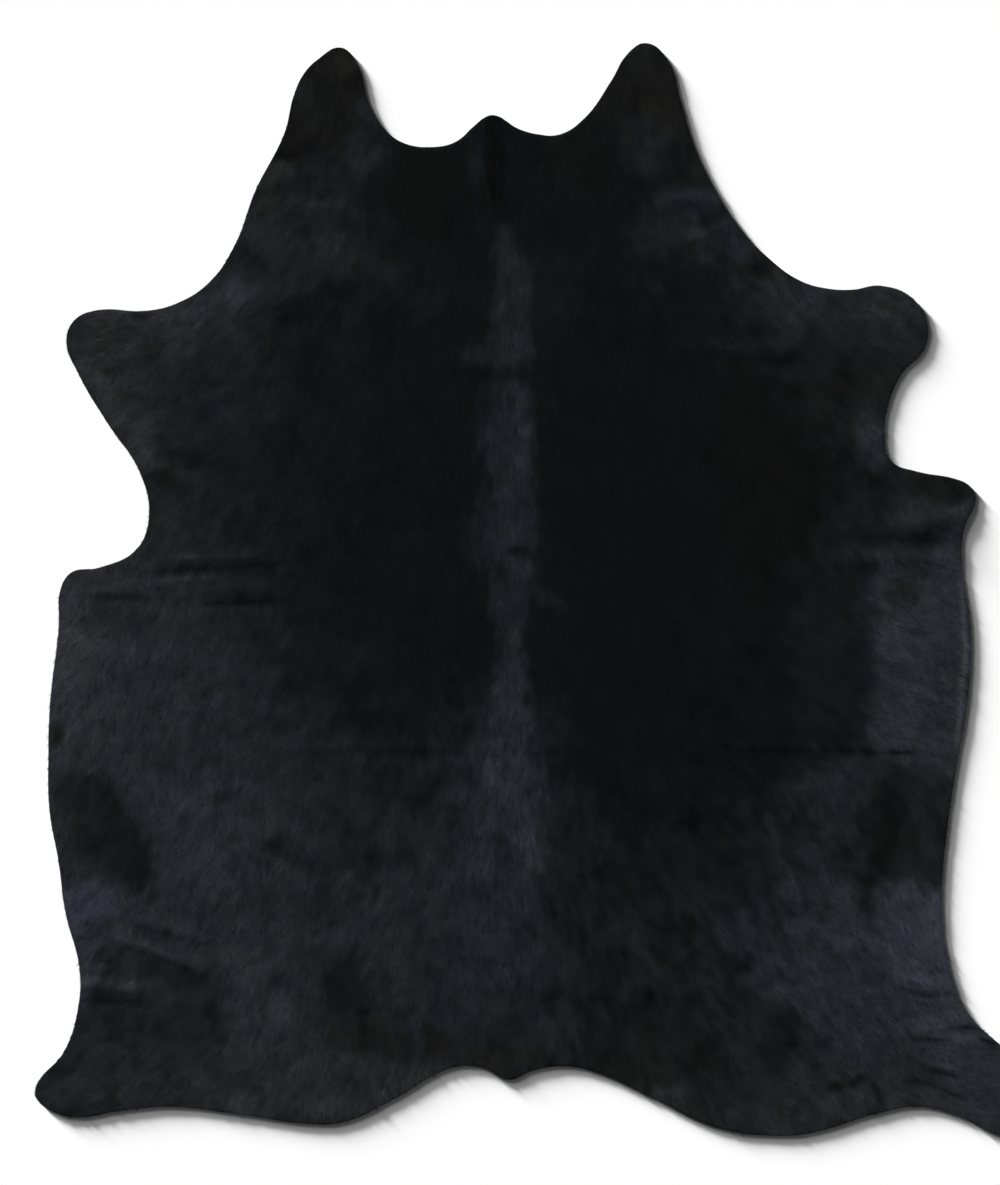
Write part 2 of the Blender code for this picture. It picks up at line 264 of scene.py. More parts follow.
# The light band of painted sheen along the spine, where the combed hair catches the light, from the
# withers to the rump, the olive tail root, and the mane with its dark crest
SPINE_PATCHES = (
    Patch("withers, start", -2, 1656, 22, 58, 0, 0.6, -0.25),
    Patch("withers, band", 12, 1540, 38, 110, 0, 0.68, -0.2),
    Patch("withers, wide", 6, 1458, 46, 32, 0, 0.84, -0.2),
    Patch("withers, left tuft", -50, 1454, 40, 17, 0, 0.46, 0.2),
    Patch("back, upper band", -1, 1300, 50, 115, 0, 0.82, -0.3),
    Patch("withers, gap", -50, 1415, 44, 8, 0, 0.04, -0.3),
    Patch("withers, faint gap", -2, 1417, 40, 8, 0, 0.42, -0.2),
    Patch("back, core", 26, 1240, 20, 130, 0, 0.98, -0.3),
    Patch("back, wide part, halo", -10, 1100, 74, 76, 0, 0.44, -0.3),
    Patch("back, wide part", 2, 1110, 50, 76, 0, 0.84, -0.3),
    Patch("back, spur", 66, 972, 56, 16, -32, 0.4, -0.2),
    Patch("back, lower band", 6, 1000, 40, 86, 0, 0.84, -0.3),
    Patch("back, dark knot", 20, 1056, 24, 9, 0, -0.04, -0.3),
    Patch("loins, narrow band", 6, 870, 19, 130, 0, 0.66, -0.3),
    Patch("loins, right halo", 64, 700, 56, 66, 0, 0.34, -0.2),
    Patch("loins, halo", -30, 690, 92, 84, 0, 0.42, -0.2),
    Patch("loins, widening", 4, 740, 32, 120, 0, 0.98, -0.3),
    Patch("loins, shoulders of the band", -24, 490, 100, 180, 0, 0.88, -0.2),
    Patch("loins, lavender core", 4, 540, 50, 210, 0, 1.36, -0.35),
    Patch("loins, bright left side", -40, 450, 34, 70, 0, 1.4, -0.3),
    Patch("rump, soft end", -4, 290, 100, 110, 0, 0.92, -0.3),
    Patch("tail root, shade", 14, 116, 56, 80, 0, 0.5, 0.0),
    Patch("tail root, olive rim", 0, 34, 110, 34, 0, 0.44, 0.7),
    Patch("tail root, right light", 116, 86, 36, 66, 0, 0.64, 0.2),
    Patch("mane, blue strip", -66, 1830, 18, 50, 0, 0.34, -0.4),
    Patch("mane crest, rear spot", -6, 1741, 23, 26, 0, -0.08, 0.3),
    Patch("mane crest, lower part", -22, 1778, 17, 50, 2, -0.02, 0.8),
    Patch("mane crest", -29, 1860, 17, 84, 2, 0.02, 1.0),
)
# Longer hair grows on the crest alone
CREST_PATCH = SPINE_PATCHES[-1]
# The hair's shade and cast where no patch lies
BASE_SHADE = 0.05
BASE_CAST = -0.1
# Share of a patch's radius, inside and outside, over which its rim is blurred
BROAD_BLUR = 0.60
SMALL_BLUR = 0.50
# The rims wander by this much, over bends of this length
BROAD_WANDER = ((46 * MM, 170 * MM), (28 * MM, 60 * MM), (18 * MM, 26 * MM))
RIM_WANDER = ((12 * MM, 100 * MM), (12 * MM, 36 * MM), (10 * MM, 18 * MM))
BAND_WANDER = ((8 * MM, 130 * MM), (3 * MM, 30 * MM), (7 * MM, 12 * MM))
# The crest's longer hair ends at a narrower rim
CREST_BLUR = 0.25
# The rims fray along the hair: by this share of the patch's radius, but no further than this.
# The fraying's width and length, and how many times as strong as one streak it is
RIM_FRAY = 0.16
MOST_FRAY = 8 * MM
FRAY_SIZE = (12 * MM, 20 * MM)
FRAY_GAIN = 2.0
# Streaks of lighter and darker hair: width, length along the hair, and strength
STREAKS = ((14 * MM, 30 * MM, 0.32),)
# A streak is the mean of the noise at this many places along the hair. Such a mean is flatter
# by the square root of their number, or less so by this much, as near places are alike
STREAK_STEPS = 6
STREAK_LIKENESS = 1.3
# Where in the noise each use of it starts, so that no two look alike
WANDER_SEED, FRAY_SEED, WAVER_SEED, STREAK_SEED, CLOUD_SEED = 10.5, 31.5, 41.5, 77.5, 151.5
# How far apart a wander's layers and axes start, and a waver's layers
LAYER_GAP, AXIS_GAP, WAVER_GAP = 7.0, 3.0, 9.0
# Blotches: size and strength
BLOTCHES = ((18 * MM, 0.30), (34 * MM, 0.40), (70 * MM, 0.42), (150 * MM, 0.16))
# How much these vary the darkest hair, and lighter hair by this power of its shade up to this
LEAST_VARIED = 0.10
VARIED_POWER = 0.75
VARIED_UP_TO = 1.2
# No hair is darker than this shade
DARKEST = -0.14
# A crease's painted shade and highlight are weaker on dark hair: this share of them there, and at most
# this on light
CREASE_LEAST = 0.35
CREASE_MOST = 1.8
# Where the hair is rougher, in place of the shade how many times as much these vary it there
ROUGH_PATCHES = (
    Patch("right rump, rough", 380, 400, 330, 300, 0, 1.4, 0.0),
    Patch("left rump, rough", -250, 450, 240, 260, 0, 1.1, 0.0),
    Patch("loins, rough", -90, 650, 90, 130, 0, 1.4, 0.0),
)
# The cast varies in clouds too: size and strength
CAST_CLOUDS = ((46 * MM, 0.30), (22 * MM, 0.24))

# Which way the hair lies, as degrees turned from the head-to-tail line, + to the right
Lie = namedtuple("Lie", "name x y turn reach")
LIES = (
    Lie("crest", 0, 1880, 0, 200),
    Lie("withers", 0, 1450, 0, 230),
    Lie("back", 0, 1000, 0, 230),
    Lie("loins", 0, 560, 0, 230),
    Lie("tail root", 0, 100, 0, 200),
    Lie("left ear", -360, 1980, -12, 160),
    Lie("left neck", -380, 1720, -26, 200),
    Lie("left shoulder", -500, 1480, -40, 200),
    Lie("left foreleg", -780, 1470, -75, 150),
    Lie("left elbow", -740, 1290, -52, 150),
    Lie("left barrel", -350, 1200, -16, 260),
    Lie("left belly", -660, 1030, -34, 200),
    Lie("left flank", -600, 680, -32, 260),
    Lie("left stifle", -830, 460, -32, 160),
    Lie("left rump", -330, 350, -18, 240),
    Lie("left thigh", -650, 150, -36, 200),
    Lie("left hind foot", -880, 0, -64, 140),
    Lie("right ear", 290, 1980, 10, 160),
    Lie("right neck", 360, 1720, 28, 200),
    Lie("right shoulder", 560, 1510, 42, 200),
    Lie("right foreleg", 790, 1510, 74, 150),
    Lie("right elbow", 730, 1330, 48, 150),
    Lie("right barrel", 350, 1200, 16, 260),
    Lie("right belly", 700, 1060, 36, 200),
    Lie("right flank", 820, 800, 60, 200),
    Lie("right stifle", 840, 450, 26, 160),
    Lie("right rump", 400, 350, 38, 240),
    Lie("right thigh", 720, 180, 42, 200),
    Lie("right hind foot", 1010, 10, 62, 140),
)
# Far from all of these the nearest still count, by a pull this faint beyond a core this small
FAINT_PULL = 1e-9
PULL_CORE = 1e-6
# The hair wavers about its lie by this angle, over bends of this length
WAVERS = ((math.radians(14), 150 * MM), (math.radians(24), 34 * MM))

# Fine creases on top of the model's own: half the width, how high the skin lifts (or sinks,
# below 0), and the painted shade (below 0) or painted highlight (above 0) on the hair along it
Crease = namedtuple("Crease", "name x0 y0 x1 y1 half_width height shade")
CREASES = (
    Crease("left belly, edge shadow", -758, 1058, -694, 1030, 6, -0.4, -0.38),
    Crease("left belly, edge light", -768, 1044, -704, 1010, 7, 0.5, 0.3),
    Crease("left belly, top light", -680, 1046, -500, 1046, 7, 0.3, 0.15),
    Crease("left belly, upper shadow", -730, 1016, -400, 1035, 6, -0.5, -0.42),
    Crease("left belly, upper light", -736, 998, -530, 1010, 7, 0.5, 0.75),
    Crease("left belly, corner shadow", -862, 969, -690, 962, 13, -0.3, -0.5),
    Crease("left belly, lower shadow", -650, 952, -420, 958, 6, -0.5, -0.5),
    Crease("left belly, shadow's core", -640, 953, -520, 955, 4, -0.2, -0.3),
    Crease("left belly, lower light", -630, 938, -446, 938, 6, 0.4, 0.5),
    Crease("left hock, upper shadow", -776, 320, -580, 264, 5, -0.4, -0.6),
    Crease("left hock, long shadow", -830, 290, -620, 214, 4, -0.5, -0.55),
    Crease("left hock, shadow's end", -720, 250, -560, 191, 4, -0.3, -0.3),
    Crease("left hock, long light", -800, 294, -640, 238, 6, 0.4, 0.19),
    Crease("left hock, edge shadow", -872, 290, -818, 276, 6, -0.4, -0.51),
    Crease("left hock, hook shadow", -862, 245, -784, 233, 5, -0.4, -0.51),
    Crease("left hock, hook end", -802, 230, -764, 262, 5, -0.3, -0.42),
    Crease("left hock, light roll", -926, 206, -690, 184, 18, 0.4, 0.5),
    Crease("left hock, under roll", -926, 164, -750, 157, 6, -0.4, -0.56),
    Crease("left hock, under roll's end", -800, 159, -690, 157, 5, -0.3, -0.42),
    Crease("right neck, roll light", 290, 1762, 430, 1779, 12, 0.4, 0.08),
    Crease("right neck, streak", 392, 1692, 462, 1724, 6, 0.4, 0.12),
    Crease("right neck, long streak", 320, 1664, 420, 1700, 12, 0.2, 0.12),
    Crease("right neck, edge light", 502, 1636, 540, 1552, 7, 0.4, 0.17),
    Crease("right belly, roll tip", 880, 1130, 930, 1158, 6, 0.4, 0.26),
    Crease("right belly, under roll", 560, 1084, 880, 1080, 5, -0.3, -0.14),
    Crease("right belly, lower light", 818, 1066, 910, 1034, 5, 0.4, 0.34),
    Crease("right belly, lower shadow", 826, 1041, 900, 1014, 7, -0.3, -0.31),
    Crease("right flank, rim light", 905, 1036, 918, 800, 8, 0.2, 1.2),
    Crease("right flank, rim light below", 918, 900, 894, 630, 8, 0.2, 1.3),
    Crease("right hock, upper shadow", 762, 192, 850, 164, 8, -0.4, -0.72),
    Crease("right hock, shadow's end", 816, 170, 896, 172, 8, -0.3, -0.68),
    Crease("right hock, upper light", 766, 214, 876, 186, 7, 0.4, 0.35),
    Crease("right hock, top shadow", 836, 216, 884, 222, 6, -0.2, -0.8),
    Crease("right hock, second shadow", 800, 159, 880, 140, 7, -0.2, -0.5),
    Crease("right hock, cross shadow", 864, 98, 926, 108, 8, -0.3, -0.75),
    Crease("right hock, cross shadow's end", 900, 108, 974, 98, 8, -0.3, -0.85),
    Crease("right hock, cross light", 866, 86, 968, 86, 5, 0.4, 0.6),
    Crease("right hock, edge shadow", 932, 90, 980, 68, 6, -0.3, -0.8),
    Crease("right hock, inner shadow", 800, 85, 896, 78, 6, -0.3, -0.75),
    Crease("right hock, low shadow", 822, 28, 912, 2, 8, -0.3, -0.6),
    Crease("right hock, low light", 826, 42, 908, 18, 6, 0.4, 0.35),
    Crease("right hock, wrinkle", 870, 60, 960, 40, 6, -0.2, -0.17),
    Crease("right thigh, wrinkle", 800, 230, 870, 206, 6, -0.2, -0.22),
    Crease("right buttock, shadow", 776, 3, 868, -12, 8, -0.3, -0.62),
    Crease("right buttock, shadow's end", 850, -8, 916, -42, 7, -0.3, -0.6),
    Crease("right buttock, faint shadow", 730, -4, 842, -40, 6, -0.3, -0.29),
    Crease("right thigh, olive fold", 727, 10, 752, -66, 13, 0.0, -0.51),
    Crease("left neck, streak", -430, 1816, -350, 1816, 5, 0.4, 0.2),
    Crease("left neck, long streak", -450, 1752, -326, 1750, 6, 0.5, 0.2),
    Crease("left neck, cross shadow", -440, 1773, -340, 1774, 5, -0.2, -0.15),
    Crease("left neck, shadow", -400, 1838, -320, 1832, 6, -0.3, -0.2),
    Crease("left neck, low shadow", -420, 1800, -340, 1801, 5, -0.3, -0.22),
    Crease("left ear, soft shadow", -382, 1908, -310, 1894, 12, -0.2, -0.1),
    Crease("packing fold, left", -450, 660, -240, 656, 4, -0.4, -0.3),
    Crease("packing fold, left end", -290, 656, -66, 656, 5, -0.4, -0.55),
    Crease("packing fold, left light", -330, 641, -218, 641, 6, 0.2, 0.45),
    Crease("packing fold, band's left side", -62, 648, -6, 648, 5, -0.2, -0.3),
    Crease("packing fold, spine", 30, 653, 112, 655, 6, -0.4, -1.0),
    Crease("packing fold, right", 409, 662, 640, 658, 5, -0.4, -0.34),
    Crease("packing fold, right end", 600, 659, 820, 653, 5, -0.5, -0.5),
    Crease("packing fold, right tip", 746, 654, 822, 656, 7, -0.3, -1.0),
    Crease("right flank, slant", 660, 748, 752, 716, 6, -0.3, -0.24),
    Crease("right shoulder, roll light", 380, 1466, 530, 1464, 7, 0.2, 0.12),
    Crease("left flank, patch top", -912, 607, -806, 606, 6, -0.3, -0.26),
)
# Share of a crease's length over which each end fades out, and the weight that counts as none
CREASE_FADE = 0.3
NO_CREASE = 0.001


def in_row(x_mm, y_mm):
    """A place in the tables' mm as x and y of the model's frame."""
    return SPINE_X + x_mm * MM, TAIL_Y + y_mm * MM


def hex_colour(text):
    """A colour written as sRGB hex, as linear values that a socket or a property takes."""
    steps = [int(text[i : i + 2], 16) / 255 for i in (1, 3, 5)]
    linear = [s / 12.92 if s <= 0.04045 else ((s + 0.055) / 1.055) ** 2.4 for s in steps]
    return (*linear, 1.0)


def smooth_step(values):
    """0 below 0, 1 above 1, and a soft S between."""
    t = np.clip(values, 0.0, 1.0)
    return t * t * (3.0 - 2.0 * t)


def smooth_noise(places, size, seed):
    """Soft noise from about -1 to 1 at each place, with features of that size."""
    return np.array([noise.noise(Vector((x / size, y / size, seed))) for x, y in places])


def wandered(places, wander):
    """The places moved a little by noise, so that no patch keeps a drawn rim."""
    moved = places.copy()
    for layer, (far, size) in enumerate(wander):
        for axis in (0, 1):
            seed = WANDER_SEED + LAYER_GAP * layer + AXIS_GAP * axis
            moved[:, axis] += far * smooth_noise(places, size, seed)
    return moved


def patch_weight(places, patch, blur, fray=0.0):
    """How much of a patch each place has: 1 well inside it and 0 well outside."""
    x, y = in_row(patch.x, patch.y)
    turn = math.radians(patch.turn)
    way_x, way_y = places[:, 0] - x, places[:, 1] - y
    along = (way_x * math.cos(turn) + way_y * math.sin(turn)) / (patch.half_x * MM)
    across = (way_y * math.cos(turn) - way_x * math.sin(turn)) / (patch.half_y * MM)
    most = min(RIM_FRAY, MOST_FRAY / (min(patch.half_x, patch.half_y) * MM))
    reach = np.hypot(along, across) - 1.0 + fray * most
    return 1.0 - smooth_step((reach + blur) / (2.0 * blur))


def crease_weight(places, crease):
    """How much of a crease each place has: 1 on its line, 0 at its sides and its ends."""
    start = np.array(in_row(crease.x0, crease.y0))
    way = np.array(in_row(crease.x1, crease.y1)) - start
    length = np.linalg.norm(way)
    along = way / length
    offset = places - start
    share = offset @ along / length
    side = np.abs(offset @ np.array([-along[1], along[0]])) / (crease.half_width * MM)
    ends = smooth_step(np.minimum(share, 1.0 - share) / CREASE_FADE)
    return ends * np.cos(np.clip(side, 0.0, 1.0) * math.pi / 2) ** 2


def hair_turn(places):
    """How far the hair's lie turns at each place, from straight back towards the right."""
    total = np.zeros_like(places)
    for lie in LIES:
        x, y = in_row(lie.x, lie.y)
        turn = math.radians(lie.turn)
        gap = np.hypot(places[:, 0] - x, places[:, 1] - y) / (lie.reach * MM)
        weight = np.exp(-(gap**2)) + FAINT_PULL / (PULL_CORE + gap**4)
        total += weight[:, None] * np.array([math.sin(turn), -math.cos(turn)])
    turn = np.arctan2(total[:, 0], -total[:, 1])
    for layer, (angle, size) in enumerate(WAVERS):
        turn += angle * smooth_noise(places, size, WAVER_SEED + WAVER_GAP * layer)
    return turn


def lie_of(turn):
    """The unit direction in which hair with that turn points."""
    return np.stack([np.sin(turn), -np.cos(turn)], axis=1)


def streaks(places, lie, width, length, seed):
    """Noise drawn out along the hair, from about -1 to 1."""
    steps = np.linspace(-0.5, 0.5, STREAK_STEPS) * length
    layers = [smooth_noise(places + lie * step, width, seed) for step in steps]
    return np.mean(layers, axis=0) * math.sqrt(STREAK_STEPS) / STREAK_LIKENESS


def hair_shade(places, lie):
    """How light the hair's colour is painted at each place, and its cast: painted sheen and painted
    shade from the patches, the creases' painted shade and highlight, and random mottling.
    """
    moved = wandered(places, RIM_WANDER)
    far_moved = wandered(places, BROAD_WANDER)
    band_moved = wandered(places, BAND_WANDER)
    shade = np.full(len(places), BASE_SHADE)
    cast = np.full(len(places), BASE_CAST)
    layers = (
        (BROAD_PATCHES, BROAD_BLUR, far_moved),
        (SMALL_PATCHES, SMALL_BLUR, moved),
        (SPINE_PATCHES, SMALL_BLUR, band_moved),
    )
    fray = FRAY_GAIN * streaks(places, lie, *FRAY_SIZE, FRAY_SEED)
    for patches, blur, spots in layers:
        for patch in patches:
            weight = patch_weight(spots, patch, blur, fray)
            shade += weight * (patch.shade - shade)
            cast += weight * (patch.cast - cast)
    # The creases paint shade (below 0) and highlight (above 0) into the hair's colour, stronger on
    # lighter hair
    for crease in CREASES:
        strength = np.clip(shade + CREASE_LEAST, CREASE_LEAST, CREASE_MOST)
        shade += crease.shade * crease_weight(places, crease) * strength
    varied = LEAST_VARIED + np.clip(shade, 0.0, VARIED_UP_TO) ** VARIED_POWER
    for patch in ROUGH_PATCHES:
        varied *= 1.0 + (patch.shade - 1.0) * patch_weight(far_moved, patch, BROAD_BLUR)
    change = sum(part * smooth_noise(moved, size, size / MM) for size, part in BLOTCHES)
    for width, length, part in STREAKS:
        change += part * streaks(places, lie, width, length, STREAK_SEED + width / MM)
    for size, part in CAST_CLOUDS:
        cast += part * smooth_noise(places, size, CLOUD_SEED + size / MM)
    return np.maximum(shade + varied * change, DARKEST), cast


def crease_relief(places):
    """How far the fine creases lift or sink the skin at each place."""
    relief = np.zeros(len(places))
    for crease in CREASES:
        relief += crease.height * MM * crease_weight(places, crease)
    return relief


def add(tree, kind, inputs=(), **settings):
    """Adds a node with its settings. Each input is a value, the output socket that feeds it, or
    a node whose first output feeds it."""
    made = tree.nodes.new(kind)
    for name, value in settings.items():
        setattr(made, name, value)
    for key, value in dict(inputs).items():
        source = value.outputs[0] if isinstance(value, bpy.types.Node) else value
        if isinstance(source, bpy.types.NodeSocket):
            tree.links.new(source, made.inputs[key])
        else:
            made.inputs[key].default_value = source
    return made


# Points of the model closer than this are one, and a face under it points down by more than this
JOIN_WITHIN = 0.01 * MM
DOWN = -0.5
# Steps of the smooth curve between two points of the model's cut edge
CURVE_STEPS = 8
# Lengths below this count as none, and so do gaps between the triangles' points
NO_LENGTH = 1e-6
NO_GAP = 1e-7
# The triangles are asked for inside the outline alone
INSIDE_ONLY = 1


def merged_cad(name):
    """A copy of a CAD node's mesh with its loose triangles joined."""
    bm = bmesh.new()
    bm.from_mesh(frame["nodes"][name].data)
    bmesh.ops.remove_doubles(bm, verts=bm.verts, dist=JOIN_WITHIN)
    bm.normal_update()
    return bm


def underside_of(bm):
    """The faces that lie on the floor or rise from it under a crease."""
    return [face for face in bm.faces if face.normal.z < DOWN]


def cut_edge(bm):
    """The rim of the underside as one closed run of x and y, counter-clockwise."""
    faces = underside_of(bm)
    under = set(faces)
    ahead = {}
    for face in faces:
        for loop in face.loops:
            if not any(other in under for other in loop.edge.link_faces if other is not face):
                ahead[loop.link_loop_next.vert] = loop.vert
    first = next(iter(ahead))
    run, here = [first], ahead[first]
    while here is not first:
        run.append(here)
        here = ahead[here]
    return np.array([vert.co[:2] for vert in run])


def smooth_loop(knots, step):
    """Even steps along the smooth closed curve through the knots."""
    before, after = np.roll(knots, 1, axis=0), np.roll(knots, -1, axis=0)
    beyond = np.roll(knots, -2, axis=0)
    slope = after - before
    bend = 2 * before - 5 * knots + 4 * after - beyond
    twist = 3 * knots - before - 3 * after + beyond
    shares = np.linspace(0.0, 1.0, CURVE_STEPS, endpoint=False)
    fine = [0.5 * (2 * knots + slope * t + bend * t**2 + twist * t**3) for t in shares]
    dense = np.stack(fine, axis=1).reshape(-1, 2)
    closed = np.vstack([dense, dense[:1]])
    along = np.concatenate([[0.0], np.cumsum(np.linalg.norm(np.diff(closed, axis=0), axis=1))])
    at = np.linspace(0.0, along[-1], round(along[-1] / step), endpoint=False)
    return np.stack([np.interp(at, along, closed[:, k]) for k in (0, 1)], axis=1)


def inside(places, loop):
    """Which places lie inside a closed loop, by counting the edges that a ray crosses."""
    found = np.zeros(len(places), bool)
    for (x0, y0), (x1, y1) in zip(loop, np.roll(loop, -1, axis=0)):
        if y0 == y1:
            continue
        crosses = (places[:, 1] > min(y0, y1)) & (places[:, 1] <= max(y0, y1))
        at = x0 + (places[:, 1] - y0) / (y1 - y0) * (x1 - x0)
        found ^= crosses & (places[:, 0] < at)
    return found


def field(loop, step):
    """A triangular grid of places inside the loop."""
    low, high = loop.min(axis=0), loop.max(axis=0)
    row_step = step * math.sqrt(3) / 2
    rows = np.arange(low[1] + row_step, high[1], row_step)
    columns = np.arange(low[0], high[0], step)
    grid = [
        np.stack([columns + 0.5 * step * (j % 2), np.full(len(columns), y)], axis=1)
        for j, y in enumerate(rows)
    ]
    grid = np.vstack(grid)
    return grid[inside(grid, loop)]


def edge_finder(loop):
    """A tree that finds the nearest place on the cut edge."""
    tree = kdtree.KDTree(len(loop))
    for i, (x, y) in enumerate(loop):
        tree.insert((x, y, 0.0), i)
    tree.balance()
    return tree


def edge_gaps(places, loop):
    """The distance from each place to the cut edge, and the unit direction towards it."""
    finder = edge_finder(loop)
    nearest = np.array([finder.find((x, y, 0.0))[0][:2] for x, y in places])
    way = nearest - places
    gap = np.linalg.norm(way, axis=1)
    return gap, way / np.maximum(gap, NO_LENGTH)[:, None]


def near_creases(places, spare):
    """Which places lie on a fine crease or within a distance of its sides."""
    near = np.zeros(len(places), bool)
    for crease in CREASES:
        wide = crease._replace(half_width=crease.half_width + spare / MM)
        near |= crease_weight(places, wide) > NO_CREASE
    return near


def floor_lift(bm, places):
    """How high the model's underside lies over the floor at each place."""
    faces = underside_of(bm)
    corners = dict.fromkeys(vert for face in faces for vert in face.verts)
    index = {vert: i for i, vert in enumerate(corners)}
    tree = BVHTree.FromPolygons(
        [vert.co for vert in index], [[index[v] for v in face.verts] for face in faces]
    )
    found = []
    for x, y in places:
        hit = tree.ray_cast(Vector((x, y, -1.0)), Vector((0.0, 0.0, 1.0)))[0]
        if hit is None:
            hit = tree.find_nearest(Vector((x, y, 0.0)))[0]
        found.append(hit.z)
    return np.array(found)


def spread(values, count, pairs, rounds):
    """Smooths values over a mesh: each round takes a point half-way to its neighbours' mean."""
    near = np.bincount(pairs.ravel(), minlength=count)
    for _ in range(rounds):
        total = np.bincount(pairs[:, 0], values[pairs[:, 1]], count)
        total += np.bincount(pairs[:, 1], values[pairs[:, 0]], count)
        values = 0.5 * values + 0.5 * total / np.maximum(near, 1)
    return values


def triangulated(loop, inner):
    """Triangles that fill the loop through the inner places: points and faces, facing up."""
    edges = [(i, (i + 1) % len(loop)) for i in range(len(loop))]
    points = [Vector(p) for p in np.vstack([loop, inner])]
    found, _, faces, *_ = delaunay_2d_cdt(points, edges, [], INSIDE_ONLY, NO_GAP)
    flat = np.array([tuple(p) for p in found])
    corners = flat[np.array(faces)]
    first, second = corners[:, 1] - corners[:, 0], corners[:, 2] - corners[:, 0]
    turned = first[:, 0] * second[:, 1] - first[:, 1] * second[:, 0] < 0
    faces = np.array(faces)
    faces[turned] = faces[turned][:, ::-1]
    return flat, faces


def store(mesh, name, values):
    """Keeps numbers on the mesh's points under a name."""
    layer = mesh.attributes.new(name, "FLOAT", "POINT")
    layer.data.foreach_set("value", np.asarray(values, np.float32))


# Kinds of node that are used often
MATH, MIX, VECTOR = "ShaderNodeMath", "ShaderNodeMix", "ShaderNodeVectorMath"
NOISE, ATTRIBUTE, BUMP = "ShaderNodeTexNoise", "ShaderNodeAttribute", "ShaderNodeBump"
SPLIT, JOIN = "ShaderNodeSeparateXYZ", "ShaderNodeCombineXYZ"
NAMED, KEEP = "GeometryNodeInputNamedAttribute", "GeometryNodeStoreNamedAttribute"
# Settings of a node that mixes two colours, and of one that tints a colour with another
BLEND = {"data_type": "RGBA", "blend_type": "MIX"}
TINT = {"data_type": "RGBA", "blend_type": "MULTIPLY"}
SHEEN_ROUGHNESS = 0.4
# A lock's colour is painted darker at its root, as the shade that the other locks cast there, than at
# its tip
ROOT_SHADE = 0.62
# Hairs are 0.05 mm thick, so the grain of the roots is drawn as tufts this wide, which the
# render shows: how much the tufts' tone differs, the darkest one's, and the bump that they make
# With these tones the roots' colour is painted darker than the locks', as the shade under the locks
TUFT = 2.5 * MM
TUFT_TONES = 0.7
TUFT_DARK = 0.4
TUFT_BUMP = {"Distance": 0.6 * MM, "Strength": 0.6}
# The dye's clouds. Suede fibres are about 0.1 mm, so the nap is drawn as tufts this wide, which
# the render shows: how much the nap's tone differs, how dark it all is, and the bump
DYE_CLOUD = 120 * MM
NAP = 3 * MM
NAP_TONES = 0.35
NAP_DARK = 0.2
NAP_BUMP = {"Distance": 0.4 * MM, "Strength": 0.5}
# Layers of the skin's thickness, drawn out along the edge, in layers per metre
EDGE_LAYERS = (30.0, 30.0, 900.0)


def new_material(name, roughness, specular, sheen=0.0):
    """A material with its tree and its Principled shader."""
    material = bpy.data.materials.new(name)
    material.use_nodes = True
    tree = material.node_tree
    shader = tree.nodes["Principled BSDF"]
    shader.inputs["Roughness"].default_value = roughness
    shader.inputs["Specular IOR Level"].default_value = specular
    shader.inputs["Sheen Weight"].default_value = sheen
    shader.inputs["Sheen Roughness"].default_value = SHEEN_ROUGHNESS
    return material, tree, shader


def shaded_colour(tree, colours):
    """The hair's colour where it lies, from the mesh's points: its painted sheen and shade, and its
    cast.
    """
    shade = add(tree, ATTRIBUTE, attribute_name="shade").outputs["Fac"]
    cast = add(tree, ATTRIBUTE, attribute_name="cast").outputs["Fac"]
    inputs = {0: shade, 6: colours.dark, 7: colours.light}
    plain = add(tree, MIX, inputs, clamp_factor=False, **BLEND)
    warm = add(tree, MATH, {0: cast, 1: 0.0}, operation="MAXIMUM")
    olive = add(tree, MIX, {0: warm, 6: plain.outputs[2], 7: colours.olive}, **TINT)
    turned = add(tree, MATH, {0: cast, 1: -1.0}, operation="MULTIPLY")
    cold = add(tree, MATH, {0: turned, 1: 0.0}, operation="MAXIMUM")
    return add(tree, MIX, {0: cold, 6: olive.outputs[2], 7: colours.blue}, **TINT).outputs[2]


def hair_material(coat):
    """Cow hair, dyed black and combed flat: a soft, low gloss, and each lock a little different. Its
    colour holds painted sheen and shade, and painted shade at each lock's root.
    """
    material, tree, shader = new_material("dyed_cow_hair_painted_sheen_and_shade", coat.roughness, coat.gloss, coat.sheen)
    along = add(tree, ATTRIBUTE, attribute_name="along").outputs["Fac"]
    tone = add(tree, ATTRIBUTE, attribute_name="tone").outputs["Fac"]
    tip = add(tree, MATH, {0: along, 1: 1.0 - ROOT_SHADE, 2: ROOT_SHADE}, operation="MULTIPLY_ADD")
    own = add(tree, MATH, {0: tone, 1: coat.tone_spread, 2: 1.0}, operation="MULTIPLY_ADD")
    factor = add(tree, MATH, {0: tip, 1: own}, operation="MULTIPLY")
    inputs = {0: shaded_colour(tree, coat), "Scale": factor}
    colour = add(tree, VECTOR, inputs, operation="SCALE")
    tree.links.new(colour.outputs[0], shader.inputs["Base Color"])
    return material


def root_material(coat):
    """The same hair close to the skin, seen between the locks: painted darker, as the shade under the
    locks, with fine grain.
    """
    material, tree, shader = new_material("dyed_hair_roots_painted_shade", coat.roughness, coat.gloss)
    place = add(tree, "ShaderNodeTexCoord").outputs["Object"]
    grain = add(tree, NOISE, {"Vector": place, "Scale": 1 / TUFT, "Detail": 3.0})
    tone = add(tree, MATH, {0: grain, 1: TUFT_TONES, 2: TUFT_DARK}, operation="MULTIPLY_ADD")
    inputs = {0: shaded_colour(tree, coat), "Scale": tone}
    colour = add(tree, VECTOR, inputs, operation="SCALE")
    tree.links.new(colour.outputs[0], shader.inputs["Base Color"])
    bump = add(tree, BUMP, {"Height": grain, **TUFT_BUMP})
    tree.links.new(bump.outputs["Normal"], shader.inputs["Normal"])
    return material


